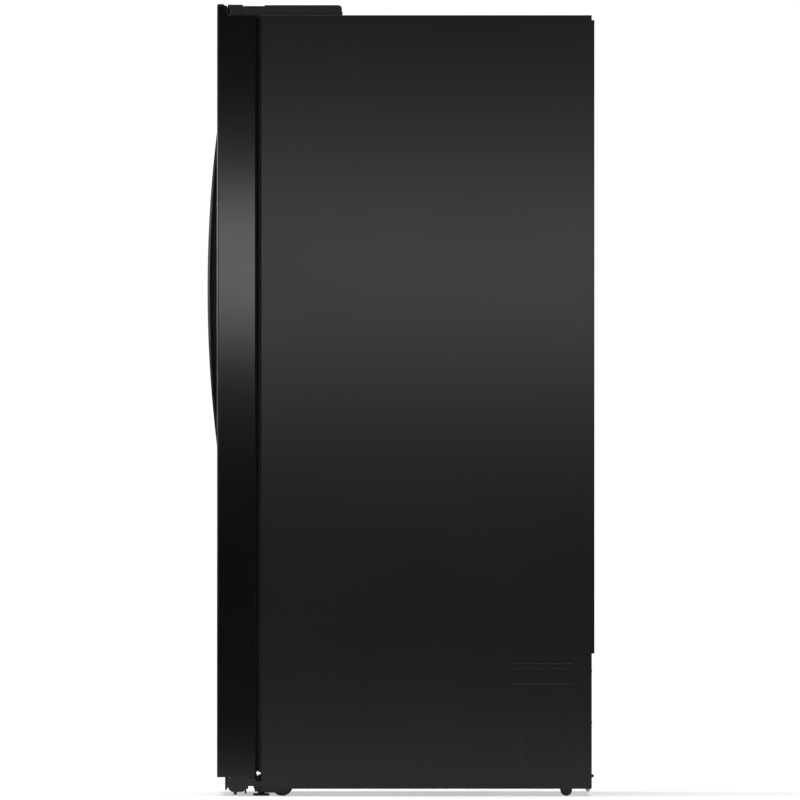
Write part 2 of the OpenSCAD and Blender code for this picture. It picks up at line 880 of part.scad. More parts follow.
module air_duct() {
    mid = (fr_x[0] + fr_x[1]) / 2;
    z = [crisper_cover_z + 20, control_z + 10];
    color(liner_white)
        difference() {
            block([mid - 110, mid + 110], [back_y - 26, back_y], z);
            block([mid - 106, mid + 106], [back_y - 22, back_y + 1], [z[0] + 4, z[1] - 4]);
            for (level = fridge_levels, row = [0:2])
                if (level + 60 + row * 12 < z[1] - 20)
                    block([mid - 70, mid + 70], [back_y - 27, back_y - 21],
                        [level + 60 + row * 12, level + 65 + row * 12]);
        }
}

module control_housing() {
    mid = (fr_x[0] + fr_x[1]) / 2;
    color(liner_white)
        difference() {
            block([mid - 140, mid + 140], [case_y0 + 215, back_y - 60], [control_z, ceil_z]);
            block([mid - 110, mid + 110], [case_y0 + 240, case_y0 + 400], [control_z - 1, control_z + 14]);
        }
}

// An open-topped tub, with its floor and walls inside the given box
module tub(x, y, z, t) {
    difference() {
        block(x, y, z);
        block([x[0] + t, x[1] - t], [y[0] + t, y[1] - t], [z[0] + t, z[1] + 1]);
    }
}

// A drawer: a tub with a thicker front, a grip lip along it and side flanges that ride on rails
module drawer(x, y, z, flange_x) {
    front = 8;
    difference() {
        union() {
            block(x, y, z);
            block([x[0] - 1, x[1] + 1], [y[0] - 6, y[0] + front], z);
            block([x[0] + 40, x[1] - 40], [y[0] - 14, y[0]], [z[1] - 30, z[1] - 26]);
            if (flange_x != undef)
                block(flange_x, [y[0] + front, y[1]], [z[1] - drawer_lip, z[1]]);
        }
        block([x[0] + tub_t, x[1] - tub_t], [y[0] + front, y[1] - tub_t], [z[0] + tub_t, z[1] + 1]);
    }
}

module upper_crisper() {
    color(clear_blue)
        drawer([fr_x[0] + 10, fr_x[1] - 10], [drawer_y0 + 14, back_y - 36], up_drawer_z,
            [fr_x[0] + 1.5, fr_x[1] - 1.5]);
}

module lower_crisper() {
    color(clear_blue)
        drawer([fr_x[0] + 6, fr_x[1] - 6], [drawer_y0 + 14, step_y - 8], low_drawer_z, undef);
}

module freezer_basket() {
    color(clear_blue)
        drawer([fz_x[0] + 6, fz_x[1] - 6], [drawer_y0 + 14, step_y - 8], low_drawer_z, undef);
}

module ice_bucket() {
    color(clear_blue)
        drawer([fz_x[0] + 12, fz_x[1] - 12], [drawer_y0 + 14, back_y - 60],
            [bucket_z[0] - shelf_t + 10 + seat, bucket_z[1]], undef);
}

// ---- Doors ----

// Plan of a door with rounded front edges, shrunk by inset on the front and sides
module door_plan(x, inset, y1) {
    r = edge_r - inset;
    translate([x[0] + edge_r, door_y0 + edge_r])
        circle(r = r);
    translate([x[1] - edge_r, door_y0 + edge_r])
        circle(r = r);
    translate([x[0] + edge_r, door_y0 + inset])
        square([x[1] - x[0] - 2 * edge_r, edge_r]);
    translate([x[0] + inset, door_y0 + edge_r])
        square([x[1] - x[0] - 2 * inset, y1 - door_y0 - edge_r]);
}

module door_prism(x, inset, y1, z) {
    translate([0, 0, z[0]])
        linear_extrude(z[1] - z[0])
            door_plan(x, inset, y1);
}

return_w = 9;
module door_skin(x) {
    z = [door_z0 + 2, lip_z - crown_h];
    color(door_black)
        difference() {
            door_prism(x, 0, door_y1, z);
            door_prism(x, sheet, door_y1 - sheet, [z[0] - 1, z[1] + 1]);
            block([x[0] + return_w, x[1] - return_w], [door_y1 - 2 * sheet, door_y1 + 1],
                [z[0] - 1, z[1] + 1]);
            block([x[0] - 1, x[1] + 1], [door_y0 + lip_t, door_y1 + 1], [door_z1, z[1] + 1]);
            children();
        }
}

module door_caps(x, side) {
    px = side * pin_x;
    rib_x = side > 0 ? [x[0] + 1, px - 30] : [px + 30, x[1] - 1];
    color(trim_black)
        difference() {
            union() {
                door_prism(x, 0, door_y1, [door_z0, door_z0 + 2]);
                door_prism(x, sheet, liner_face, [door_z0 + 2, core_z[0]]);
                door_prism(x, sheet, liner_face, [core_z[1], door_z1]);
                door_prism(x, sheet, door_y0 + lip_t, [door_z1 - 1, lip_z - crown_h]);
                door_prism(x, 0, door_y0 + lip_t, [lip_z - crown_h, lip_z - 2]);
                door_prism(x, 2, door_y0 + lip_t - 2, [lip_z - 3, lip_z]);
                block(rib_x, [door_y0 + lip_t - 1, door_y0 + lip_t + 5], [door_z1 - 1, lip_z - 3]);
            }
            rod_z(px, pin_y, [door_z0 - 1, core_z[0] - 1], pin_r + run);
            rod_z(px, pin_y, [core_z[1] + 1, door_z1 + 1], pin_r + run);
        }
}

module door_seal(x) {
    w = 14;
    y = [liner_face, case_y0 - seat];
    gx = [x[0] + (x[0] < 1 - half_w ? 15 : return_w + 1), x[1] - (x[1] > half_w - 1 ? 15 : return_w + 1)];
    gz = [door_z0 + 11, door_z1 - 2];
    color(seal_black)
        difference() {
            block(gx, y, gz);
            block([gx[0] + w, gx[1] - w], [y[0] - 1, y[1] + 1], [gz[0] + w, gz[1] - w]);
        }
}

module door_liner(x, dike) {
    color(liner_white) {
        block([x[0] + sheet, x[1] - sheet], [liner_face - 3, liner_face], core_z);
        difference() {
            block(dike, [liner_face - 1, liner_face + dike_d], dike_z);
            block([dike[0] + dike_w, dike[1] - dike_w], [liner_face, liner_face + dike_d + 1],
                [dike_z[0] + dike_w, dike_z[1] - dike_w]);
        }
        children();
    }
}

// Four blocks round a window, or the whole slab where there is none
module slab(x, y, z, wx, wz) {
    block([x[0], wx[0]], y, z);
    block([wx[1], x[1]], y, z);
    block([wx[0] + joint, wx[1] - joint], y, [z[0], wz[0]]);
    block([wx[0] + joint, wx[1] - joint], y, [wz[1], z[1]]);
}

// Handles stand beside the centre gap: side 1 is the fresh-food door, -1 the freezer door.
// Their X counts from the gap's middle.
bow_x = [centre_gap / 2 + bow_in, centre_gap / 2 + bow_in + handle_w];
pocket_x0 = bow_x[0] + pocket_in;
pocket_x = [pocket_x0, pocket_x0 + pocket_w];
pocket_y = door_y0 + pocket_d;
function pocket_at(side) = side > 0
    ? [split_x + pocket_x[0], split_x + pocket_x[1]]
    : [split_x - pocket_x[1], split_x - pocket_x[0]];

module beside_gap(side) {
    translate([split_x, 0, 0])
        mirror([side > 0 ? 0 : 1, 0, 0])
            children();
}

module pocket_cut(side) {
    block(pocket_at(side), [door_y0 - 1, pocket_y], pocket_z);
}

// Half the length at which the bow's arc, moved in by inset, meets the door's face
function bow_half(inset) = sqrt(pow(bow_r - inset, 2) - pow(bow_r - handle_reach, 2));
// Points along that arc between two heights
function bow_arc(inset, z0, z1) = [
    for (i = [0:bow_steps])
        let (z = z0 + (z1 - z0) * i / bow_steps)
        [bow_y + bow_r - sqrt(pow(bow_r - inset, 2) - pow(z - bow_mid, 2)), z]
];

module handle_bow(side) {
    in_half = bow_half(bow_t);
    color(door_black)
        beside_gap(side)
            along_x(bow_x)
                polygon(concat(bow_arc(0, bow_z0, bow_z1), bow_arc(bow_t, bow_mid + in_half,
                    bow_mid - in_half)));
}

module handle_base(side) {
    px = pocket_x;
    in_half = bow_half(bow_t);
    color(trim_black)
        beside_gap(side)
            difference() {
                union() {
                    block([px[0] + joint, px[1] - joint], [door_y0 - 1.5, pocket_y - joint],
                        [pocket_z[0] + joint, pocket_z[1] - joint]);
                    block([px[0] - 2, px[1] + 4], [door_y0 - 1.5, door_y0],
                        [pocket_z[0] - 4, pocket_z[1] + 4]);
                    along_x([bow_x[0], bow_x[0] + web_t])
                        polygon(bow_arc(bow_t, bow_mid - in_half, bow_mid + in_half));
                    along_x(bow_x)
                        intersection() {
                            polygon(bow_arc(bow_t, bow_mid - in_half, bow_mid + in_half));
                            for (z = [bow_z0, bow_z1 - pocket_end])
                                translate([bow_y, z])
                                    square([handle_reach, pocket_end]);
                        }
                }
                block([bow_x[0] + web_t + joint, px[1] - pocket_wall],
                    [door_y0 - 1.6, pocket_y - pocket_wall],
                    [pocket_z[0] + pocket_wall, pocket_z[1] - pocket_wall]);
            }
}

// Door shelves hang between the two sides of the ring
module bins(dike, depth, levels) {
    x = [dike[0] + dike_w + seat, dike[1] - dike_w - seat];
    for (z = levels)
        tub(x, [liner_face, liner_face + depth], [z, z + bin_h], tub_t);
}

module fridge_door_skin() {
    door_skin(fridge_door)
        pocket_cut(1);
}

module fridge_door_foam() {
    x = [fridge_door[0] + edge_r, fridge_door[1] - edge_r];
    color(foam_cream) {
        slab(x, [door_y0 + sheet, pocket_y - joint], core_z, pocket_at(1), pocket_z);
        block([fridge_door[0] + sheet, fridge_door[1] - sheet], [pocket_y, liner_face - 3], core_z);
    }
}

module fridge_door_liner() {
    door_liner(fridge_door, fridge_dike);
}

module fridge_door_seal() {
    door_seal(fridge_door);
}

module fridge_door_caps() {
    door_caps(fridge_door, 1);
}

module fridge_handle_bow() {
    handle_bow(1);
}

module fridge_handle_base() {
    handle_base(1);
}

lid_x = [fridge_dike[0] + dike_w + seat + 4, fridge_dike[1] - dike_w - seat - 4];
module fridge_door_bins() {
    x = [lid_x[0] - 4, lid_x[1] + 4];
    y = [liner_face, liner_face + bin_d];
    color(clear_blue) {
        bins(fridge_dike, low_bin_d, low_bins);
        bins(fridge_dike, bin_d, fridge_bins);
        // The dairy compartment is open towards the lid
        difference() {
            block(x, y, dairy_z);
            block([x[0] + tub_t, x[1] - tub_t], [y[0] + tub_t, y[1] + 1],
                [dairy_z[0] + tub_t, dairy_z[1] - tub_t]);
            rod_x([x[0] - 1, x[1] + 1], lid_axis[1], lid_axis[2], lid_pin_r + run);
        }
    }
}

module dairy_lid() {
    pin_x0 = lid_x[0] - 4;
    color(clear_blue) {
        difference() {
            block(lid_x, [lid_axis[1] + 4, lid_axis[1] + 4 + lid_t], [dairy_z[0] + 8, lid_axis[2]]);
            block([lid_x[0] - 1, lid_x[1] + 1], [lid_axis[1] + 6, lid_axis[1] + 9],
                [lid_axis[2] - 3, lid_axis[2] + 1]);
        }
        for (x = [[pin_x0, lid_x[0] + 8], [lid_x[1] - 8, lid_x[1] + 4]])
            rod_x(x, lid_axis[1], lid_axis[2], lid_pin_r);
        for (x = [lid_x[0], lid_x[1] - 6])
            block([x, x + 6], [lid_axis[1] - 1, lid_axis[1] + 5], [lid_axis[2] - 3, lid_axis[2] + 1]);
    }
}

module freezer_door_skin() {
    door_skin(freezer_door) {
        pocket_cut(-1);
        block(disp_x, [door_y0 - 1, door_y0 + 5], disp_z);
    }
}

module freezer_door_foam() {
    x = [freezer_door[0] + edge_r, freezer_door[1] - edge_r];
    full = [freezer_door[0] + sheet, freezer_door[1] - sheet];
    cut = (disp_x[1] + pocket_at(-1)[0]) / 2;
    color(foam_cream) {
        slab([x[0], cut - joint], [door_y0 + sheet, pocket_y - joint], core_z, disp_x, disp_z);
        slab([cut, x[1]], [door_y0 + sheet, pocket_y - joint], core_z, pocket_at(-1), pocket_z);
        slab(full, [pocket_y, disp_back], core_z, disp_x, disp_z);
        block(full, [disp_back + joint, liner_face - 3], core_z);
    }
}

module freezer_door_liner() {
    door_liner(freezer_door, freezer_dike)
        difference() {
            block([disp_cx - 70, disp_cx + 70], [liner_face - 1, liner_face + 60], chute_z);
            rod_y(disp_cx, [liner_face + 20, liner_face + 61], (chute_z[0] + chute_z[1]) / 2 + 15, 42);
        }
}

module freezer_door_seal() {
    door_seal(freezer_door);
}

module freezer_door_caps() {
    door_caps(freezer_door, -1);
}

module freezer_handle_bow() {
    handle_bow(-1);
}

module freezer_handle_base() {
    handle_base(-1);
}

module freezer_door_bins() {
    color(clear_blue) {
        bins(freezer_dike, low_bin_d, freezer_low_bins);
        bins(freezer_dike, low_bin_d, freezer_high_bins);
    }
}

// ---- Dispenser ----

module dispenser_housing() {
    a = paddle_axis;
    ears = [a[0] - paddle_w / 2 - ear_t - 1, a[0] + paddle_w / 2 + 1];
    color(trim_black)
        difference() {
            union() {
                difference() {
                    union() {
                        block([disp_x[0] + joint, disp_x[1] - joint], [door_y0 - bezel_t, disp_back],
                            [disp_z[0] + joint, disp_z[1] - joint]);
                        block([disp_x[0] - bezel, disp_x[1] + bezel], [door_y0 - bezel_t, door_y0],
                            [disp_z[0] - bezel, disp_z[1] + bezel]);
                    }
                    block(well_x, [door_y0 - bezel_t - 1, disp_back - disp_wall], well_z);
                    block(panel_x, [door_y0 - bezel_t - 1, door_y0], panel_z);
                }
                for (x = ears)
                    block([x, x + ear_t], [a[1] - 6, a[1] + 6], [a[2] - 6, well_z[1] + 1]);
                difference() {
                    rod_z(a[0], a[1] - 22, [well_z[1] - 24, well_z[1] + 1], 15);
                    rod_z(a[0], a[1] - 22, [well_z[1] - 25, well_z[1]], 12);
                }
            }
            rod_x([ears[0] - 1, ears[1] + ear_t + 1], a[1], a[2], paddle_pin_r + run);
            for (i = [-1, 0, 1])
                rod_y(disp_cx + i * button_pitch, [door_y0 - 1, door_y0 + button_deep], button_z,
                    button_r + seat);
        }
}

module dispenser_panel() {
    color(door_black)
        difference() {
            block([panel_x[0] + joint, panel_x[1] - joint], [door_y0 - panel_t, door_y0],
                [panel_z[0] + joint, panel_z[1] - joint]);
            for (i = [-1, 0, 1])
                rod_y(disp_cx + i * button_pitch, [door_y0 - panel_t - 1, door_y0 + 1], button_z,
                    button_r + seat);
        }
}

module button(i) {
    color(zinc)
        rod_y(disp_cx + i * button_pitch,
            [door_y0 - panel_t - button_proud, door_y0 + button_deep - button_travel - seat],
                button_z, button_r);
}

module water_button() {
    button(-1);
}

module cubed_button() {
    button(0);
}

module crushed_button() {
    button(1);
}

module drip_tray() {
    x = [well_x[0] + 1, well_x[1] - 1];
    y = [door_y0 + 2, disp_back - disp_wall - 1];
    z = [well_z[0], well_z[0] + 9];
    color(trim_black)
        difference() {
            block(x, y, z);
            for (i = [0:12])
                translate([x[0] + 10 + i * (x[1] - x[0] - 24) / 12, y[0] + 8, z[0] + 3])
                    cube([4, y[1] - y[0] - 16, 10]);
        }
}

module dispenser_paddle() {
    a = paddle_axis;
    x = [a[0] - paddle_w / 2, a[0] + paddle_w / 2];
    color(trim_black) {
        block(x, [a[1] - paddle_t / 2, a[1] + paddle_t / 2], [a[2] - paddle_h, a[2]]);
        block([x[0] + 12, x[1] - 12], [a[1] - paddle_t / 2 - 10, a[1]],
            [a[2] - paddle_h, a[2] - paddle_h + 4]);
        rod_x([x[0] - ear_t - 1, x[1] + ear_t + 1], a[1], a[2], paddle_pin_r);
    }
}

badge_r = 23.5;
badge_h = 1.8;
module badge() {
    ball = (badge_r * badge_r + badge_h * badge_h) / (2 * badge_h);
    color(zinc)
        translate([disp_cx, door_y0, case_top - 48])
            rotate([90, 0, 0])
                rotate_extrude()
                    intersection() {
                        translate([0, badge_h - ball])
                            circle(r = ball, $fn = 1200);
                        square([badge_r, badge_h]);
                    }
}

outer_wrapper();
back_panel();
base_pan();
cabinet_foam();
freezer_liner();
fridge_liner();
mullion_cover();
toe_grille();
hinges();
hinge_covers();
roller_brackets();
compressor();
condenser_coil();
fan_shroud();
drain_pan();
machine_cover();
screws();
shelf_frames();
shelf_glass();
freezer_shelves();
ice_maker();
evaporator_coil();
evaporator_cover();
air_duct();
control_housing();
fridge_door_skin();
fridge_door_foam();
fridge_door_liner();
fridge_door_seal();
fridge_door_caps();
fridge_handle_bow();
fridge_handle_base();
fridge_door_bins();
dairy_lid();
freezer_door_skin();
freezer_door_foam();
freezer_door_liner();
freezer_door_seal();
freezer_door_caps();
freezer_handle_bow();
freezer_handle_base();
freezer_door_bins();
dispenser_housing();
dispenser_panel();
drip_tray();
dispenser_paddle();
badge();
water_button();
cubed_button();
crushed_button();
upper_crisper();
lower_crisper();
freezer_basket();
ice_bucket();
left_front_roller();
right_front_roller();
rear_rollers();
condenser_fan();
left_levelling_foot();
right_levelling_foot();
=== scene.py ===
"""Finishes a two-door refrigerator: pressed steel, moulded trim, seals, glass and clear tubs round its CAD frame."""

import math

import bmesh
import bpy
from mathutils import Matrix, Vector


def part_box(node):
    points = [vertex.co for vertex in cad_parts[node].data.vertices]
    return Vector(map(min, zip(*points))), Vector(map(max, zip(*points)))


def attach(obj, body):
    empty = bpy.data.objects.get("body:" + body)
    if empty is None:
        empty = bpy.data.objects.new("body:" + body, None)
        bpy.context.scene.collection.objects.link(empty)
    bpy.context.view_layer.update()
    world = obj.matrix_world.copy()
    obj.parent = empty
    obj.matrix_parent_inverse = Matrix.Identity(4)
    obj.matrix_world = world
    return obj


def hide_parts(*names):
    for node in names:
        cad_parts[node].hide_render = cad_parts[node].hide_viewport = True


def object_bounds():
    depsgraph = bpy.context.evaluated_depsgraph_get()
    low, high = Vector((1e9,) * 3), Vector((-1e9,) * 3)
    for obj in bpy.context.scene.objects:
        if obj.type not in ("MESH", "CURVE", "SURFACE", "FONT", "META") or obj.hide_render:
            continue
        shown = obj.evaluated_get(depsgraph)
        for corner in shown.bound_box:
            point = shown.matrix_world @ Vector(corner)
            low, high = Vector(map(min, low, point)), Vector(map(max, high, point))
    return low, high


bl_info = {
    "name": "Two-door refrigerator",
    "version": (1, 0, 0),
    "blender": (4, 5, 0),
    "location": "View3D > Sidebar > Refrigerator",
    "description": "Builds the finished pieces of a two-door refrigerator on its CAD frame",
    "category": "Object",
}

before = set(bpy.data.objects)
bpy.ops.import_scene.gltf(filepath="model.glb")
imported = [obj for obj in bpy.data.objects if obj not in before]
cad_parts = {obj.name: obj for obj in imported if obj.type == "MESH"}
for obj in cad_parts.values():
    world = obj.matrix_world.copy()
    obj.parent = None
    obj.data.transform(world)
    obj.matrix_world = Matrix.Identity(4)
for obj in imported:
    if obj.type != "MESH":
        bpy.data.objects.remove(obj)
CAD_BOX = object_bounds()
MM = 0.001
FLAT_AREA = (70 * MM) ** 2  # a wider face than this is a flat wall and keeps its own normal
DOOR_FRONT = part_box("fridge_door_skin")[0].y


def sheet_edge_filter(edge):
    """The wrapper's long outer corners, where the steel is folded."""
    low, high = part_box("outer_wrapper")
    a, b = (v.co for v in edge.verts)
    tiny = 1e-5

    def on_side(p):
        return abs(abs(p.x) - high.x) < tiny

    def on_top(p):
        return abs(p.z - high.z) < tiny

    def on_front(p):
        return abs(p.y - low.y) < tiny

    hits = [test(a) and test(b) for test in (on_side, on_top, on_front)]
    return sum(hits) >= 2


# ---------------------------------------------------------------- sizes and colours


class RefrigeratorSizes(bpy.types.PropertyGroup):
    """Sizes that a user would change."""

    fold_radius: bpy.props.FloatProperty(
        name="Fold radius", description="Outer radius of the cabinet's folded steel corners",
        default=2.2 * MM, min=0.5 * MM, max=4 * MM, unit="LENGTH")
    door_edge_radius: bpy.props.FloatProperty(
        name="Door edge radius", description="Radius of the doors' front vertical edges",
        default=5 * MM, min=2 * MM, max=8 * MM, unit="LENGTH")
    mould_edge: bpy.props.FloatProperty(
        name="Moulded edge", description="Radius on the edges of moulded plastic pieces",
        default=0.9 * MM, min=0.2 * MM, max=2 * MM, unit="LENGTH")
    cavity_fillet: bpy.props.FloatProperty(
        name="Liner fillet", description="Radius in the corners of the vacuum-formed liners",
        default=7 * MM, min=2 * MM, max=9 * MM, unit="LENGTH")
    lens_length: bpy.props.FloatProperty(
        name="Lens", description="Focal length of the camera in millimetres", default=1500.0, min=50.0, max=1700.0)
    frame_height: bpy.props.FloatProperty(
        name="Frame height", description="Height that the picture spans at the near side panel",
        default=1.7928, min=1.0, max=4.0, unit="LENGTH")


class RefrigeratorColours(bpy.types.PropertyGroup):
    """Colours that a user would change, as sRGB hex values."""

    cabinet: bpy.props.StringProperty(name="Cabinet", description="Grained enamel on the cabinet", default="#0e0e0f")
    doors: bpy.props.StringProperty(name="Doors", description="Gloss enamel on the doors", default="#060607")
    trim: bpy.props.StringProperty(name="Trim", description="Black moulded ABS", default="#0c0c0d")
    liner: bpy.props.StringProperty(name="Liner", description="White high-impact polystyrene", default="#e3e5e5")


def sizes():
    return bpy.context.scene.refrigerator_sizes


def colours():
    return bpy.context.scene.refrigerator_colours


# ---------------------------------------------------------------- materials


def linear(hex_value):
    """An sRGB hex value as linear RGBA."""
    parts = [int(hex_value[i : i + 2], 16) / 255 for i in (1, 3, 5)]
    low = [p / 12.92 if p <= 0.04045 else ((p + 0.055) / 1.055) ** 2.4 for p in parts]
    return (*low, 1.0)


def add_node(tree, kind, inputs=None, **settings):
    """Adds one node with its settings; an input given as a socket is linked, anything else is its value."""
    node = tree.nodes.new(kind)
    for key, value in settings.items():
        setattr(node, key, value)
    for socket, value in (inputs or {}).items():
        if isinstance(value, bpy.types.NodeSocket):
            tree.links.new(value, node.inputs[socket])
        else:
            node.inputs[socket].default_value = value
    return node


def start_material(name, **sockets):
    """A material with a Principled shader, its constants set on the shader's own sockets."""
    material = bpy.data.materials.new(name)
    material.use_nodes = True
    tree = material.node_tree
    shader = tree.nodes["Principled BSDF"]
    for key, value in sockets.items():
        shader.inputs[key.replace("_", " ")].default_value = value
    where = add_node(tree, "ShaderNodeTexCoord").outputs["Object"]
    return material, tree, shader, where


def two_tone(tree, shader, factor, dark, light):
    """Colour that runs between two close shades."""
    mix = add_node(tree, "ShaderNodeMix", {"Factor": factor}, data_type="RGBA")
    mix.inputs["A"].default_value = dark
    mix.inputs["B"].default_value = light
    tree.links.new(mix.outputs["Result"], shader.inputs["Base Color"])


def spread(tree, shader, factor, low, high):
    """Roughness that runs between two values."""
    ramp = add_node(tree, "ShaderNodeMapRange", {"Value": factor, "To Min": low, "To Max": high})
    tree.links.new(ramp.outputs["Result"], shader.inputs["Roughness"])


def relief(tree, shader, height, depth_mm, strength):
    """Bump of a real depth."""
    bump = add_node(tree, "ShaderNodeBump", {"Height": height, "Distance": depth_mm * MM, "Strength": strength})
    tree.links.new(bump.outputs["Normal"], shader.inputs["Normal"])


def noise(tree, where, size_mm, detail=3.0):
    """Noise whose lumps have a real size."""
    inputs = {"Vector": where, "Scale": 1 / (size_mm * MM), "Detail": detail}
    return add_node(tree, "ShaderNodeTexNoise", inputs).outputs["Fac"]


def shade(base, factor):
    """A colour made darker or lighter."""
    return tuple(c * factor for c in base[:3]) + (1,)


def grained_enamel():
    """Baked enamel over embossed steel: a fine pebble grain that softens every reflection."""
    material, tree, shader, where = start_material("grained_enamel", Roughness=0.3, IOR=1.5)
    pebble = add_node(
        tree, "ShaderNodeTexVoronoi", {"Vector": where, "Scale": 1 / (1.6 * MM), "Randomness": 0.9},
        feature="SMOOTH_F1").outputs["Distance"]  # real grain is under 1 mm, drawn coarser to show
    patches = noise(tree, where, 260)
    base = linear(colours().cabinet)
    two_tone(tree, shader, noise(tree, where, 3), shade(base, 0.82), shade(base, 1.2))
    spread(tree, shader, patches, 0.265, 0.305)
    relief(tree, shader, pebble, 0.05, 0.22)
    return material


def gloss_enamel():
    """High-gloss baked enamel: deep black with a faint orange peel and wiping haze."""
    material, tree, shader, where = start_material("gloss_enamel", Roughness=0.16, IOR=1.545)
    peel = noise(tree, where, 5, 1.0)
    haze = noise(tree, where, 140, 5.0)
    base = linear(colours().doors)
    two_tone(tree, shader, haze, base, shade(base, 1.5))
    spread(tree, shader, haze, 0.15, 0.18)
    relief(tree, shader, peel, 0.012, 0.25)
    return material


def gloss_abs():
    """Polished black ABS of the handles and dispenser panel, with hairline wipe marks."""
    material, tree, shader, where = start_material("gloss_abs", Roughness=0.12, IOR=1.53)
    drawn = add_node(tree, "ShaderNodeMapping", {"Vector": where, "Scale": (1.0, 1.0, 0.02)}).outputs["Vector"]
    hairlines = noise(tree, drawn, 0.9, 4.0)
    two_tone(tree, shader, hairlines, linear("#0e0e10"), linear("#18181b"))
    spread(tree, shader, hairlines, 0.1, 0.2)
    relief(tree, shader, hairlines, 0.01, 0.1)
    return material


def matt_abs():
    """Black ABS from a spark-eroded mould: an even matt grain."""
    material, tree, shader, where = start_material("matt_abs", Roughness=0.5, IOR=1.53)
    grain = noise(tree, where, 0.9, 2.0)
    base = linear(colours().trim)
    two_tone(tree, shader, noise(tree, where, 40), base, shade(base, 1.6))
    spread(tree, shader, grain, 0.42, 0.58)
    relief(tree, shader, grain, 0.04, 0.3)
    return material


def seal_vinyl():
    """Soft black PVC of the magnetic door seals: dull, with a slight bloom."""
    material, tree, shader, where = start_material("seal_vinyl", Roughness=0.6, IOR=1.52)
    bloom = noise(tree, where, 18, 4.0)
    two_tone(tree, shader, bloom, linear("#070707"), linear("#121212"))
    spread(tree, shader, bloom, 0.5, 0.7)
    relief(tree, shader, noise(tree, where, 1.4), 0.05, 0.25)
    return material


def zinc_plate():
    """Bright zinc on stamped steel: cloudy grey-blue with rolling marks."""
    material, tree, shader, where = start_material("zinc_plate", Metallic=1.0)
    clouds = noise(tree, where, 9, 4.0)
    two_tone(tree, shader, clouds, linear("#74787b"), linear("#9fa3a5"))
    spread(tree, shader, clouds, 0.28, 0.46)
    relief(tree, shader, noise(tree, where, 1.2), 0.02, 0.2)
    return material


def drawn_tube():
    """Drawn aluminium tube and fin stock with a dull oxide film."""
    material, tree, shader, where = start_material("drawn_tube", Metallic=1.0)
    film = noise(tree, where, 6, 3.0)
    two_tone(tree, shader, film, linear("#9a9c9d"), linear("#cfd0d1"))
    spread(tree, shader, film, 0.3, 0.5)
    return material


def brushed_aluminium():
    """Brushed and anodised aluminium of the badge and buttons."""
    material, tree, shader, where = start_material("brushed_aluminium", Metallic=1.0)
    along = add_node(tree, "ShaderNodeMapping", {"Vector": where, "Scale": (0.03, 1.0, 1.0)}).outputs["Vector"]
    strokes = noise(tree, along, 0.35, 3.0)
    two_tone(tree, shader, strokes, linear("#8e9092"), linear("#bfc1c3"))
    spread(tree, shader, strokes, 0.25, 0.42)
    relief(tree, shader, strokes, 0.01, 0.2)
    return material


def formed_polystyrene():
    """Vacuum-formed white polystyrene: soft gloss and a slight forming ripple."""
    material, tree, shader, where = start_material("formed_polystyrene", Roughness=0.3, IOR=1.59)
    ripple = noise(tree, where, 35, 2.0)
    base = linear(colours().liner)
    two_tone(tree, shader, ripple, shade(base, 0.95), base)
    spread(tree, shader, noise(tree, where, 90), 0.26, 0.36)
    relief(tree, shader, ripple, 0.15, 0.12)
    return material


def moulded_white():
    """Injection-moulded white plastic of the housings and shelf rims."""
    material, tree, shader, where = start_material("moulded_white", Roughness=0.38, IOR=1.53)
    grain = noise(tree, where, 1.1, 2.0)
    two_tone(tree, shader, noise(tree, where, 60), linear("#d9dbdb"), linear("#e9eaea"))
    spread(tree, shader, grain, 0.32, 0.46)
    relief(tree, shader, grain, 0.02, 0.15)
    return material


def epoxy_wire():
    """White epoxy powder on wire: thick, rounded and slightly lumpy."""
    material, tree, shader, where = start_material("epoxy_wire", Roughness=0.32, IOR=1.55)
    lumps = noise(tree, where, 2.5, 2.0)
    two_tone(tree, shader, lumps, linear("#dcdedd"), linear("#f0f1f0"))
    relief(tree, shader, lumps, 0.06, 0.3)
    return material


def float_glass():
    """Tempered float glass: clear with a pale green body colour."""
    material, tree, shader, where = start_material(
        "float_glass", IOR=1.52, Alpha=0.3, Specular_IOR_Level=0.8)
    smear = noise(tree, where, 70, 4.0)
    two_tone(tree, shader, smear, linear("#b9cfc8"), linear("#cfe0da"))
    spread(tree, shader, smear, 0.03, 0.09)
    return material


def clear_polystyrene():
    """Clear general-purpose polystyrene of tubs and door shelves: faint blue, scuffed where hands go."""
    material, tree, shader, where = start_material(
        "clear_polystyrene", IOR=1.59, Alpha=0.28, Specular_IOR_Level=0.8)
    two_tone(tree, shader, noise(tree, where, 160, 1.0), linear("#d6e0e5"), linear("#dee8ec"))
    spread(tree, shader, noise(tree, where, 45, 4.0), 0.05, 0.12)
    return material


def rigid_foam():
    """Poured polyurethane foam: cream, closed cells, with darker pour swirls."""
    material, tree, shader, where = start_material("rigid_foam", Roughness=0.9)
    cells = noise(tree, where, 2.2, 4.0)
    two_tone(tree, shader, noise(tree, where, 45), linear("#d9c48c"), linear("#ecdcae"))
    relief(tree, shader, cells, 0.6, 0.6)
    return material


def shell_enamel():
    """Semi-gloss black enamel sprayed over the compressor and coil."""
    material, tree, shader, where = start_material("shell_enamel", Roughness=0.35, IOR=1.5)
    runs = noise(tree, where, 12, 3.0)
    two_tone(tree, shader, runs, linear("#0a0a0b"), linear("#171718"))
    spread(tree, shader, runs, 0.28, 0.45)
    relief(tree, shader, runs, 0.1, 0.2)
    return material


def nylon_tread():
    """Black glass-filled nylon of rollers and fan: fibres show as fine streaks."""
    material, tree, shader, where = start_material("nylon_tread", Roughness=0.55, IOR=1.53)
    fibres = noise(tree, where, 1.3, 5.0)
    two_tone(tree, shader, fibres, linear("#101011"), linear("#202022"))
    spread(tree, shader, fibres, 0.45, 0.65)
    relief(tree, shader, fibres, 0.05, 0.3)
    return material


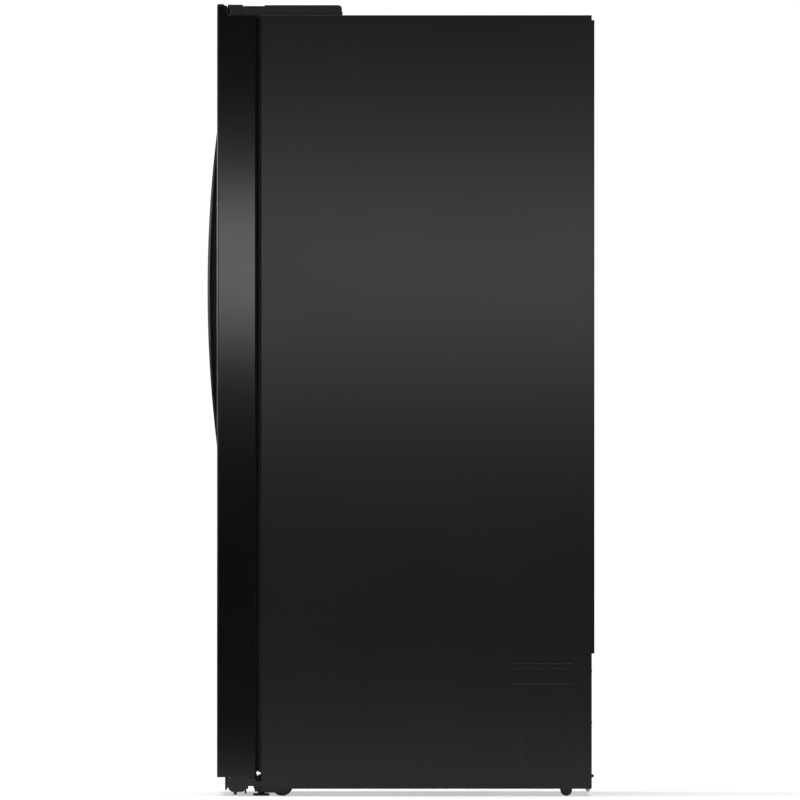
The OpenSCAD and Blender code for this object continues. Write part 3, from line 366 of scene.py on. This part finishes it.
def lamp_diffuser():
    """Opal acrylic over the light-emitting diodes."""
    material, tree, shader, where = start_material(
        "lamp_diffuser", Roughness=0.4, IOR=1.49, Emission_Strength=7.0)
    shader.inputs["Emission Color"].default_value = linear("#f4f8ff")
    two_tone(tree, shader, noise(tree, where, 5), linear("#e8ecee"), linear("#f6f8f9"))
    return material


def studio_floor():
    """Pale matt floor paper that fades into the white of the backdrop."""
    material, tree, shader, where = start_material("studio_floor", Roughness=0.9, Emission_Strength=0.45)
    shader.inputs["Emission Color"].default_value = linear("#ffffff")
    two_tone(tree, shader, noise(tree, where, 400), linear("#e8e8e8"), linear("#f0f0f0"))
    reach = add_node(tree, "ShaderNodeVectorMath", {0: where}, operation="LENGTH").outputs["Value"]
    fade = add_node(tree, "ShaderNodeMapRange", {"Value": reach, "From Min": 0.95, "From Max": 2.0}).outputs["Result"]
    glow = add_node(tree, "ShaderNodeEmission", {"Color": linear("#ffffff"), "Strength": 1.0}).outputs[0]
    mix = add_node(tree, "ShaderNodeMixShader", {0: fade, 1: shader.outputs[0], 2: glow})
    tree.links.new(mix.outputs[0], tree.nodes["Material Output"].inputs["Surface"])
    return material


MATERIALS = {}


def finish_of(maker):
    """One shared material for each maker."""
    if maker.__name__ not in MATERIALS:
        MATERIALS[maker.__name__] = maker()
    return MATERIALS[maker.__name__]


# ---------------------------------------------------------------- mesh helpers


def add_piece(name, bm, body, maker, nodes=(), sharp_degrees=38):
    """Makes a bmesh an object that rides on its body, with its finish and the CAD nodes that it stands for."""
    mesh = bpy.data.meshes.new(name)
    bm.to_mesh(mesh)
    bm.free()
    mesh.materials.append(finish_of(maker))
    mesh.shade_smooth()
    mesh.set_sharp_from_angle(angle=math.radians(sharp_degrees))
    for polygon in mesh.polygons:
        if polygon.area > FLAT_AREA:
            polygon.use_smooth = False
    piece = bpy.data.objects.new(name, mesh)
    bpy.context.scene.collection.objects.link(piece)
    weighted = piece.modifiers.new("even_normals", "WEIGHTED_NORMAL")
    weighted.keep_sharp = True
    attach(piece, body)
    if nodes:
        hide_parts(*nodes)


def merged_copy(node):
    """A CAD node's mesh as a bmesh with its loose triangles joined into whole faces."""
    bm = bmesh.new()
    bm.from_mesh(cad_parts[node].data)
    bmesh.ops.remove_doubles(bm, verts=bm.verts, dist=0.002 * MM)
    bmesh.ops.dissolve_limit(
        bm, angle_limit=math.radians(0.3), verts=bm.verts, edges=bm.edges, use_dissolve_boundaries=False)
    return bm


def ease_edges(bm, radius, segments=3, keep=lambda edge: True, sharper_than=35):
    """Rounds the edges that turn by more than an angle."""
    limit = math.radians(sharper_than)
    edges = [e for e in bm.edges if len(e.link_faces) == 2 and e.calc_face_angle(0) > limit and keep(e)]
    if edges:
        bmesh.ops.bevel(
            bm, geom=edges, offset=radius, offset_type="OFFSET", segments=segments, profile=0.5,
            affect="EDGES", clamp_overlap=True, material=-1)
    return bm


def eased_node(node, body, maker, radius, segments=3, sharper_than=35):
    """A CAD node with softened edges."""
    bm = ease_edges(merged_copy(node), radius, segments, sharper_than=sharper_than)
    add_piece(node + "_finished", bm, body, maker, [node])


def block(bm, low, high):
    """A box between two corners."""
    low, high = Vector(low), Vector(high)
    place = Matrix.Translation((low + high) / 2) @ Matrix.Diagonal((*(high - low), 1))
    bmesh.ops.create_cube(bm, size=1, matrix=place)


def cut(bm, point, normal, drop_front=False):
    """Slices all faces by a plane, and drops what lies on the normal's side if asked."""
    geometry = bm.verts[:] + bm.edges[:] + bm.faces[:]
    bmesh.ops.bisect_plane(bm, geom=geometry, dist=1e-7, plane_co=point, plane_no=normal, clear_outer=drop_front)


# ---------------------------------------------------------------- pieces


class RefrigeratorPiece:
    bl_options = {"REGISTER", "UNDO"}


class MakeCabinet(RefrigeratorPiece, bpy.types.Operator):
    """Folded steel wrapper, back panel, middle strip and base pan"""

    bl_idname = "refrigerator.cabinet"
    bl_label = "Cabinet"

    def execute(self, context):
        bm = ease_edges(merged_copy("outer_wrapper"), sizes().fold_radius, 4, sheet_edge_filter)
        add_piece("cabinet_wrapper", bm, "cabinet", grained_enamel, ["outer_wrapper"])
        eased_node("back_panel", "cabinet", grained_enamel, 1.6 * MM, 3)
        eased_node("mullion_cover", "cabinet", gloss_enamel, 0.3 * MM, 2)
        eased_node("base_pan", "cabinet", zinc_plate, 0.4 * MM, 2)
        return {"FINISHED"}


def door_skin(body, windows):
    """A door's folded steel skin: rounded front edges, open where caps, liner, handle pocket and dispenser go."""
    low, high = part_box(body + "_skin")
    lip_back = low.y + 17 * MM
    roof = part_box(body + "_caps")[1].z - 27.5 * MM
    bm = bmesh.new()
    block(bm, low, high)
    front_edges = [
        e for e in bm.edges
        if all(abs(v.co.y - low.y) < 1e-6 for v in e.verts) and abs(e.verts[0].co.z - e.verts[1].co.z) > 0.1
    ]
    bmesh.ops.bevel(
        bm, geom=front_edges, offset=sizes().door_edge_radius, offset_type="OFFSET", segments=10,
        profile=0.5, affect="EDGES", clamp_overlap=True, material=-1)
    cut(bm, (0, 0, roof), (0, 0, 1))
    cut(bm, (0, lip_back, 0), (0, 1, 0))
    flange = 9 * MM
    cut(bm, (low.x + flange, 0, 0), (1, 0, 0))
    cut(bm, (high.x - flange, 0, 0), (1, 0, 0))
    for (x0, z0), (x1, z1) in windows:
        cut(bm, (x0, 0, 0), (1, 0, 0))
        cut(bm, (x1, 0, 0), (1, 0, 0))
        cut(bm, (0, 0, z0), (0, 0, 1))
        cut(bm, (0, 0, z1), (0, 0, 1))
    gone = []
    for face in bm.faces:
        c = face.calc_center_median()
        level = abs(face.normal.z) > 0.9
        behind = face.normal.y > 0.9 and low.x + flange < c.x < high.x - flange
        notch = c.z > roof and c.y > lip_back
        opening = face.normal.y < -0.9 and any(x0 < c.x < x1 and z0 < c.z < z1 for (x0, z0), (x1, z1) in windows)
        if level or behind or notch or opening:
            gone.append(face)
    bmesh.ops.delete(bm, geom=gone, context="FACES")
    bmesh.ops.dissolve_limit(
        bm, angle_limit=math.radians(0.1), verts=bm.verts, edges=bm.edges, use_dissolve_boundaries=False)
    bmesh.ops.recalc_face_normals(bm, faces=bm.faces)
    front_face = min(bm.faces, key=lambda f: f.calc_center_median().y)
    if front_face.normal.y > 0:
        bmesh.ops.reverse_faces(bm, faces=bm.faces)
    bmesh.ops.solidify(bm, geom=bm.faces[:], thickness=1 * MM)
    bmesh.ops.recalc_face_normals(bm, faces=bm.faces)
    return bm


class MakeDoors(RefrigeratorPiece, bpy.types.Operator):
    """Door skins, end caps and liners"""

    bl_idname = "refrigerator.doors"
    bl_label = "Doors"

    def execute(self, context):
        for side in ("fridge", "freezer"):
            body = side + "_door"
            pocket_low, pocket_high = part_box(side + "_handle_base")
            bow_low, bow_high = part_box(side + "_handle_bow")
            end = 80 * MM
            outer = pocket_high.x if side == "fridge" else pocket_low.x
            inner = bow_low.x + 2 * MM if side == "fridge" else bow_high.x - 2 * MM
            outer += -3.8 * MM if side == "fridge" else 3.8 * MM
            windows = [((min(outer, inner), bow_low.z + end), (max(outer, inner), bow_high.z - end))]
            if side == "freezer":
                disp_low, disp_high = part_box("dispenser_housing")
                rim = 7.8 * MM
                windows.append(((disp_low.x + rim, disp_low.z + rim), (disp_high.x - rim, disp_high.z - rim)))
            add_piece(body + "_panel", door_skin(body, windows), body, gloss_enamel, [body + "_skin"])
            eased_node(body + "_caps", body, matt_abs, 0.8 * MM, 3)
            eased_node(body + "_liner", body, formed_polystyrene, 4 * MM, 4)
        return {"FINISHED"}


class MakeSeals(RefrigeratorPiece, bpy.types.Operator):
    """Magnetic door seals with a bellows and a flat magnet strip"""

    bl_idname = "refrigerator.seals"
    bl_label = "Door seals"

    def execute(self, context):
        for body in ("fridge_door", "freezer_door"):
            low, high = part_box(body + "_seal")
            depth = high.y - low.y
            width = 14 * MM
            # Inset from the seal's outer edge and share of its depth, round one section of the ring
            section = [
                (0.18, 0.0), (0.3, 0.18), (0.06, 0.34), (0.22, 0.5), (0.0, 0.66), (0.0, 0.96), (0.04, 1.0),
                (0.96, 1.0), (1.0, 0.96), (1.0, 0.72), (0.82, 0.56), (0.98, 0.4), (0.8, 0.22), (0.88, 0.0),
            ]
            bm = bmesh.new()

            def corner(index, inset, share):
                d = inset * width
                x = low.x + d if index in (0, 3) else high.x - d
                z = low.z + d if index in (0, 1) else high.z - d
                return Vector((x, low.y + share * depth, z))

            ring = [bm.verts.new(corner(i, *section[0])) for i in range(4)]
            edges = [bm.edges.new((ring[i], ring[(i + 1) % 4])) for i in range(4)]
            for inset, share in section[1:] + section[:1]:
                made = bmesh.ops.extrude_edge_only(bm, edges=edges)["geom"]
                edges = [part for part in made if isinstance(part, bmesh.types.BMEdge)]
                for vert in {v for e in edges for v in e.verts}:
                    left = vert.co.x < (low.x + high.x) / 2
                    under = vert.co.z < (low.z + high.z) / 2
                    vert.co = corner((0 if left else 1) if under else (3 if left else 2), inset, share)
            bmesh.ops.remove_doubles(bm, verts=bm.verts, dist=0.002 * MM)
            bmesh.ops.recalc_face_normals(bm, faces=bm.faces)
            ease_edges(bm, 0.35 * MM, 2, sharper_than=20)
            add_piece(body + "_gasket", bm, body, seal_vinyl, [body + "_seal"])
        return {"FINISHED"}


def arc_slab(low_x, high_x, radius, thickness, half_angle, centre_y, centre_z, steps):
    """A curved slab: a rectangle spun about a line along X."""
    bm = bmesh.new()
    corners = [(low_x, radius), (high_x, radius), (high_x, radius - thickness), (low_x, radius - thickness)]
    verts = [bm.verts.new((x, centre_y - r, centre_z)) for x, r in corners]
    face = bm.faces.new(verts)
    bmesh.ops.rotate(
        bm, verts=verts, cent=(0, centre_y, centre_z), matrix=Matrix.Rotation(-half_angle, 3, "X"))
    spun = bmesh.ops.spin(
        bm, geom=[face] + list(face.edges) + verts, cent=(0, centre_y, centre_z), axis=(1, 0, 0),
        angle=2 * half_angle, steps=steps, use_merge=False, use_duplicate=False)
    bmesh.ops.recalc_face_normals(bm, faces=bm.faces)
    return bm


def close_cut(bm):
    """Fills the open rims that a cut has left."""
    bmesh.ops.holes_fill(bm, edges=[e for e in bm.edges if e.is_boundary])
    bmesh.ops.recalc_face_normals(bm, faces=bm.faces)


class MakeHandles(RefrigeratorPiece, bpy.types.Operator):
    """Bowed gloss strips over dark bases with finger pockets"""

    bl_idname = "refrigerator.handles"
    bl_label = "Handles"

    def execute(self, context):
        for side in ("fridge", "freezer"):
            body = side + "_door"
            low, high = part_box(side + "_handle_bow")
            reach = DOOR_FRONT - low.y
            half = (high.z - low.z) / 2
            radius = (half**2 + reach**2) / (2 * reach)
            middle = (low.z + high.z) / 2
            strip = 5 * MM
            bm = arc_slab(
                low.x, high.x, radius, strip, math.asin(half / radius) * 1.02, low.y + radius, middle, 96)
            cut(bm, (0, DOOR_FRONT - 0.01 * MM, 0), (0, 1, 0), drop_front=True)
            close_cut(bm)
            ease_edges(bm, 1.3 * MM, 4, lambda e: abs(e.verts[0].co.x - e.verts[1].co.x) < 1e-6, 40)
            add_piece(side + "_bow", bm, body, gloss_abs, [side + "_handle_bow"])
            eased_node(side + "_handle_base", body, matt_abs, 0.4 * MM, 2)
        return {"FINISHED"}


class MakeHinges(RefrigeratorPiece, bpy.types.Operator):
    """Stamped hinges, moulded covers and the toe grille"""

    bl_idname = "refrigerator.hinges"
    bl_label = "Hinges and grille"

    def execute(self, context):
        bm = ease_edges(merged_copy("hinge_covers"), sizes().mould_edge, 4)
        for low, high in islands("hinge_covers"):  # a foot under the front wall stops light over the door's top
            x, y, z = (low.x + high.x) / 2, low.y, low.z
            block(bm, (x - 15 * MM, y + 1 * MM, z - 2.1 * MM), (x + 15 * MM, y + 4 * MM, z + 1 * MM))
        add_piece("hinge_covers_finished", bm, "cabinet", matt_abs, ["hinge_covers"])
        eased_node("hinges", "cabinet", shell_enamel, 0.5 * MM, 2)
        eased_node("toe_grille", "cabinet", matt_abs, 0.5 * MM, 2)
        eased_node("roller_brackets", "cabinet", shell_enamel, 0.3 * MM, 2)
        # Painted shade: a thin black sheet behind the grille's slots darkens what they show, where there is only shade
        # behind them
        low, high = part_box("toe_grille")
        bm = bmesh.new()
        block(bm, (low.x + 8 * MM, low.y + 3.7 * MM, low.z + 2 * MM),
              (high.x - 8 * MM, low.y + 4.6 * MM, high.z - 2 * MM))
        add_piece("grille_shade_sheet", ease_edges(bm, 0.2 * MM, 2), "cabinet", seal_vinyl)
        return {"FINISHED"}


def islands(node):
    """Each separate solid of a CAD node as its lowest and highest corners."""
    bm = bmesh.new()
    bm.from_mesh(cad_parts[node].data)
    bmesh.ops.remove_doubles(bm, verts=bm.verts, dist=0.002 * MM)
    left, found = set(bm.verts), []
    while left:
        todo, group = [left.pop()], []
        while todo:
            vert = todo.pop()
            group.append(vert.co.copy())
            for edge in vert.link_edges:
                other = edge.other_vert(vert)
                if other in left:
                    left.remove(other)
                    todo.append(other)
        found.append((Vector(map(min, *group)), Vector(map(max, *group))))
    bm.free()
    return sorted(found, key=lambda b: tuple(round(c, 5) for c in b[0]))


class MakeScrews(RefrigeratorPiece, bpy.types.Operator):
    """Hex washer-head screws with a cross recess"""

    bl_idname = "refrigerator.screws"
    bl_label = "Screws"

    def execute(self, context):
        bm = bmesh.new()
        for low, high in islands("screws"):
            size = high - low
            upright = size.z < size.y
            height = size.z if upright else size.y
            if not upright and low.z > 0.1:
                height *= 0.3  # the cover's upper screws sit in dimples, flush with the folded edge
            radius = size.x / 2
            centre = (low + high) / 2
            seat = Vector((centre.x, centre.y, low.z)) if upright else Vector((centre.x, low.y, centre.z))
            turn = Matrix.Identity(4) if upright else Matrix.Rotation(-math.pi / 2, 4, "X")
            place = Matrix.Translation(seat) @ turn
            flange = height * 0.22
            made = bmesh.ops.create_cone(
                bm, cap_ends=True, segments=32, radius1=radius, radius2=radius * 0.94, depth=flange,
                matrix=place @ Matrix.Translation((0, 0, flange / 2)))["verts"]
            hexagon = bmesh.ops.create_cone(
                bm, cap_ends=True, segments=6, radius1=radius * 0.8, radius2=radius * 0.78, depth=height - flange,
                matrix=place @ Matrix.Translation((0, 0, (height + flange) / 2)))["verts"]
            up = place.to_3x3() @ Vector((0, 0, 1))
            top = max({f for v in hexagon for f in v.link_faces}, key=lambda f: f.normal.dot(up))
            bmesh.ops.inset_region(bm, faces=[top], thickness=radius * 0.18, depth=0, use_even_offset=True)
            bmesh.ops.inset_region(bm, faces=[top], thickness=radius * 0.06, depth=-radius * 0.16, use_even_offset=True)
        ease_edges(bm, 0.25 * MM, 2)
        add_piece("screw_heads", bm, "cabinet", shell_enamel, ["screws"])
        return {"FINISHED"}


class MakeRunningGear(RefrigeratorPiece, bpy.types.Operator):
    """Rollers, levelling feet and fan"""

    bl_idname = "refrigerator.running_gear"
    bl_label = "Running gear"

    def execute(self, context):
        for node in ("left_front_roller", "right_front_roller", "rear_rollers", "condenser_fan"):
            eased_node(node, node, nylon_tread, 0.7 * MM, 3)
        for node in ("left_levelling_foot", "right_levelling_foot"):
            eased_node(node, node, shell_enamel, 0.5 * MM, 2)
        return {"FINISHED"}


class MakeDispenser(RefrigeratorPiece, bpy.types.Operator):
    """Dispenser recess, panel, buttons, paddle, tray and badge"""

    bl_idname = "refrigerator.dispenser"
    bl_label = "Dispenser"

    def execute(self, context):
        door = "freezer_door"
        eased_node("dispenser_housing", door, matt_abs, 0.7 * MM, 3)
        eased_node("dispenser_panel", door, gloss_abs, 0.5 * MM, 3)
        eased_node("drip_tray", door, matt_abs, 0.3 * MM, 2)
        eased_node("dispenser_paddle", "dispenser_paddle", matt_abs, 0.6 * MM, 3)
        eased_node("badge", door, brushed_aluminium, 0.2 * MM, 2)
        for node in ("water_button", "cubed_button", "crushed_button"):
            eased_node(node, node, brushed_aluminium, 0.5 * MM, 3)
        return {"FINISHED"}


def formed_corner(node):
    """The long inside corners of a compartment, away from its shelf ledges."""
    low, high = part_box(node)

    def keep(edge):
        a, b = (v.co for v in edge.verts)
        along = b - a
        if edge.is_convex or along.length < 0.1:
            return False
        upright = abs(along.z) > 0.99 * along.length
        at_end = min(a.z, b.z) > high.z - 12 * MM or max(a.z, b.z) < low.z + 12 * MM
        return upright or at_end

    return keep


class MakeInterior(RefrigeratorPiece, bpy.types.Operator):
    """Liners, shelves, housings, drawers and door shelves"""

    bl_idname = "refrigerator.interior"
    bl_label = "Interior"

    def execute(self, context):
        for node in ("fridge_liner", "freezer_liner"):
            bm = ease_edges(merged_copy(node), sizes().cavity_fillet, 5, formed_corner(node))
            ease_edges(bm, 0.8 * MM, 2, lambda e: e.is_convex, 60)
            add_piece(node + "_formed", bm, "cabinet", formed_polystyrene, [node])
        for node, radius in (("evaporator_cover", 1), ("air_duct", 2), ("control_housing", 3), ("ice_maker", 2)):
            eased_node(node, "cabinet", moulded_white, radius * MM, 3)
        eased_node("shelf_frames", "cabinet", moulded_white, 1.5 * MM, 3)
        eased_node("shelf_glass", "cabinet", float_glass, 0.4 * MM, 2)
        eased_node("freezer_shelves", "cabinet", epoxy_wire, 1.2 * MM, 3)
        for node in ("upper_crisper", "lower_crisper", "freezer_basket", "ice_bucket"):
            eased_node(node, node, clear_polystyrene, 1.1 * MM, 3)
        for node in ("fridge_door_bins", "freezer_door_bins"):
            eased_node(node, node[: -len("_bins")], clear_polystyrene, 1.1 * MM, 3)
        eased_node("dairy_lid", "dairy_lid", clear_polystyrene, 0.6 * MM, 2)
        return {"FINISHED"}


class MakeMachineBay(RefrigeratorPiece, bpy.types.Operator):
    """Compressor, coils, shroud, drain pan and vented cover"""

    bl_idname = "refrigerator.machine_bay"
    bl_label = "Machine bay"

    def execute(self, context):
        eased_node("machine_cover", "cabinet", matt_abs, 0.4 * MM, 2)
        eased_node("drain_pan", "cabinet", matt_abs, 0.8 * MM, 2)
        eased_node("fan_shroud", "cabinet", matt_abs, 0.6 * MM, 2)
        kept = {
            shell_enamel: ("compressor", "condenser_coil"),
            drawn_tube: ("evaporator_coil",),
            rigid_foam: ("cabinet_foam", "fridge_door_foam", "freezer_door_foam"),
        }
        for maker, nodes in kept.items():
            for node in nodes:
                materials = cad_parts[node].data.materials
                materials.clear()
                materials.append(finish_of(maker))
        return {"FINISHED"}


def rod(bm, start, end, radius, segments=12):
    """A round bar between two points."""
    start, end = Vector(start), Vector(end)
    turn = (end - start).to_track_quat("Z", "Y").to_matrix().to_4x4()
    place = Matrix.Translation((start + end) / 2) @ turn
    bmesh.ops.create_cone(
        bm, cap_ends=True, segments=segments, radius1=radius, radius2=radius, depth=(end - start).length, matrix=place)


class MakeLamp(RefrigeratorPiece, bpy.types.Operator):
    """Ribbed lens under the control housing and pilot lamps over the dispenser's buttons"""

    bl_idname = "refrigerator.lamp"
    bl_label = "Lamps"

    def execute(self, context):
        low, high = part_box("control_housing")
        middle = (low.x + high.x) / 2
        bm = bmesh.new()
        start, width, half = low.y + 27 * MM, 15.4 * MM, 108 * MM
        for i in range(10):
            y = start + i * width
            block(bm, (middle - half, y, low.z + 3 * MM), (middle + half, y + width - 1.2 * MM, low.z + 7 * MM))
        half += 0.5 * MM
        block(bm, (middle - half, start, low.z + 6 * MM), (middle + half, start + 10 * width - 1 * MM, low.z + 9 * MM))
        ease_edges(bm, 1.1 * MM, 3)
        add_piece("lamp_lens", bm, "cabinet", lamp_diffuser)

        bm = bmesh.new()
        face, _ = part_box("dispenser_panel")
        for node in ("water_button", "cubed_button", "crushed_button"):
            low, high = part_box(node)
            x, z = (low.x + high.x) / 2, (low.z + high.z) / 2 + 20 * MM
            rod(bm, (x, face.y + 0.6 * MM, z), (x, face.y - 0.5 * MM, z), 1.6 * MM, 20)
        ease_edges(bm, 0.3 * MM, 2)
        add_piece("pilot_lamps", bm, "freezer_door", lamp_diffuser)
        return {"FINISHED"}


class MakeBayDetails(RefrigeratorPiece, bpy.types.Operator):
    """Weld band and terminal cover on the compressor; fin wires on the condenser"""

    bl_idname = "refrigerator.bay_details"
    bl_label = "Machine bay details"

    def execute(self, context):
        low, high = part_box("compressor")
        centre = (low + high) / 2
        radius = (high.x - low.x) / 2
        bm = bmesh.new()
        seam = low.z + 84 * MM
        rod(bm, (centre.x, centre.y, seam - 3 * MM), (centre.x, centre.y, seam + 3 * MM), radius + 1.6 * MM, 64)
        block(bm, (centre.x - radius - 16 * MM, centre.y - 24 * MM, seam - 46 * MM),
              (centre.x - radius * 0.8, centre.y + 24 * MM, seam - 6 * MM))
        ease_edges(bm, 1.6 * MM, 4)
        add_piece("compressor_fittings", bm, "cabinet", matt_abs)

        low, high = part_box("condenser_coil")
        bm = bmesh.new()
        wires = int((high.x - low.x - 40 * MM) / (13 * MM))
        for layer in range(3):
            y = low.y + (20 + 42 * layer) * MM
            for i in range(wires):
                x = low.x + 20 * MM + i * 13 * MM
                rod(bm, (x, y, low.z + 12 * MM), (x, y, high.z - 12 * MM), 0.8 * MM, 8)
        add_piece("condenser_fins", bm, "cabinet", shell_enamel)
        return {"FINISHED"}


# ---------------------------------------------------------------- stage


def add_softbox(name, place, target, width, height, power):
    """An area light that faces a point."""
    data = bpy.data.lights.new(name, "AREA")
    data.shape = "RECTANGLE"
    data.size, data.size_y = width, height
    data.energy = power
    lamp = bpy.data.objects.new(name, data)
    bpy.context.scene.collection.objects.link(lamp)
    lamp.location = place
    lamp.rotation_euler = (Vector(target) - Vector(place)).to_track_quat("-Z", "Y").to_euler()


class MakeStage(RefrigeratorPiece, bpy.types.Operator):
    """Pale floor, soft lights and the camera"""

    bl_idname = "refrigerator.stage"
    bl_label = "Stage"

    def execute(self, context):
        scene = context.scene
        bm = bmesh.new()
        bmesh.ops.create_grid(bm, x_segments=1, y_segments=1, size=2.3)
        bmesh.ops.translate(bm, verts=bm.verts, vec=(0, 0, CAD_BOX[0].z - 0.2 * MM))
        mesh = bpy.data.meshes.new("studio_floor")
        bm.to_mesh(mesh)
        bm.free()
        mesh.materials.append(finish_of(studio_floor))
        floor = bpy.data.objects.new("studio_floor", mesh)
        scene.collection.objects.link(floor)

        world = scene.world or bpy.data.worlds.new("studio")
        scene.world = world
        world.use_nodes = True
        tree = world.node_tree
        tree.nodes.clear()
        dim = add_node(tree, "ShaderNodeBackground", {"Color": linear("#ffffff"), "Strength": 0.03})
        white = add_node(tree, "ShaderNodeBackground", {"Color": linear("#ffffff"), "Strength": 1.05})
        path = add_node(tree, "ShaderNodeLightPath")
        seen = path.outputs["Is Camera Ray"]
        mix = add_node(tree, "ShaderNodeMixShader", {0: seen, 1: dim.outputs[0], 2: white.outputs[0]})
        add_node(tree, "ShaderNodeOutputWorld", {"Surface": mix.outputs[0]})

        glow_height = 1.203
        for side in (1, -1):
            add_softbox(f"side_strip_{side}", (side * 3.0, 0, glow_height), (0, 0, glow_height), 3.4, 0.31, 10.5)
            add_softbox(f"side_fill_{side}", (side * 2.6, 0.3, 4.2), (side * 0.4, 0, 0.7), 2.2, 1.2, 16)
        add_softbox("overhead", (0, -0.4, 4.6), (0, 0, 0), 2.4, 4.5, 170)
        add_softbox("front_strip", (0, -3.4, 1.36), (0, -0.4, 1.36), 3.0, 0.34, 9)
        add_softbox("front_left", (-2.6, -3.6, 1.7), (0, -0.4, 0.95), 0.9, 2.4, 45)
        add_softbox("front_right", (2.4, -4.2, 1.6), (0, -0.4, 1.0), 0.5, 2.4, 22)
        add_softbox("back", (0.8, 4.2, 0.95), (0, 0.4, 0.95), 2.4, 1.3, 30)

        scene.view_settings.view_transform = "Standard"
        scene.view_settings.look = "None"
        data = bpy.data.cameras.new("camera")
        data.sensor_width = 36
        data.lens = sizes().lens_length
        distance = sizes().frame_height * data.lens / data.sensor_width
        data.clip_end = distance * 2
        camera = bpy.data.objects.new("camera", data)
        scene.collection.objects.link(camera)
        low, high = CAD_BOX
        camera.location = (high.x + distance, -0.8 * MM, (low.z + high.z) / 2)
        camera.rotation_euler = (math.pi / 2, 0, math.pi / 2)
        scene.camera = camera
        return {"FINISHED"}


class RefrigeratorPanel(bpy.types.Panel):
    bl_idname = "VIEW3D_PT_refrigerator"
    bl_label = "Refrigerator"
    bl_space_type = "VIEW_3D"
    bl_region_type = "UI"
    bl_category = "Refrigerator"

    def draw(self, context):
        for maker in MAKERS:
            self.layout.operator(maker.bl_idname)
        for group in (sizes(), colours()):
            for key in group.__annotations__:
                self.layout.prop(group, key)


MAKERS = (
    MakeStage, MakeCabinet, MakeDoors, MakeSeals, MakeHandles, MakeHinges, MakeScrews, MakeRunningGear,
    MakeDispenser, MakeInterior, MakeMachineBay, MakeLamp, MakeBayDetails,
)
CLASSES = (RefrigeratorSizes, RefrigeratorColours, *MAKERS, RefrigeratorPanel)


def register():
    for cls in CLASSES:
        bpy.utils.register_class(cls)
    bpy.types.Scene.refrigerator_sizes = bpy.props.PointerProperty(type=RefrigeratorSizes)
    bpy.types.Scene.refrigerator_colours = bpy.props.PointerProperty(type=RefrigeratorColours)


def unregister():
    del bpy.types.Scene.refrigerator_sizes
    del bpy.types.Scene.refrigerator_colours
    for cls in reversed(CLASSES):
        bpy.utils.unregister_class(cls)


def main():
    register()
    for maker in MAKERS:
        group, call = maker.bl_idname.split(".")
        getattr(getattr(bpy.ops, group), call)()


if __name__ == "__main__":
    main()
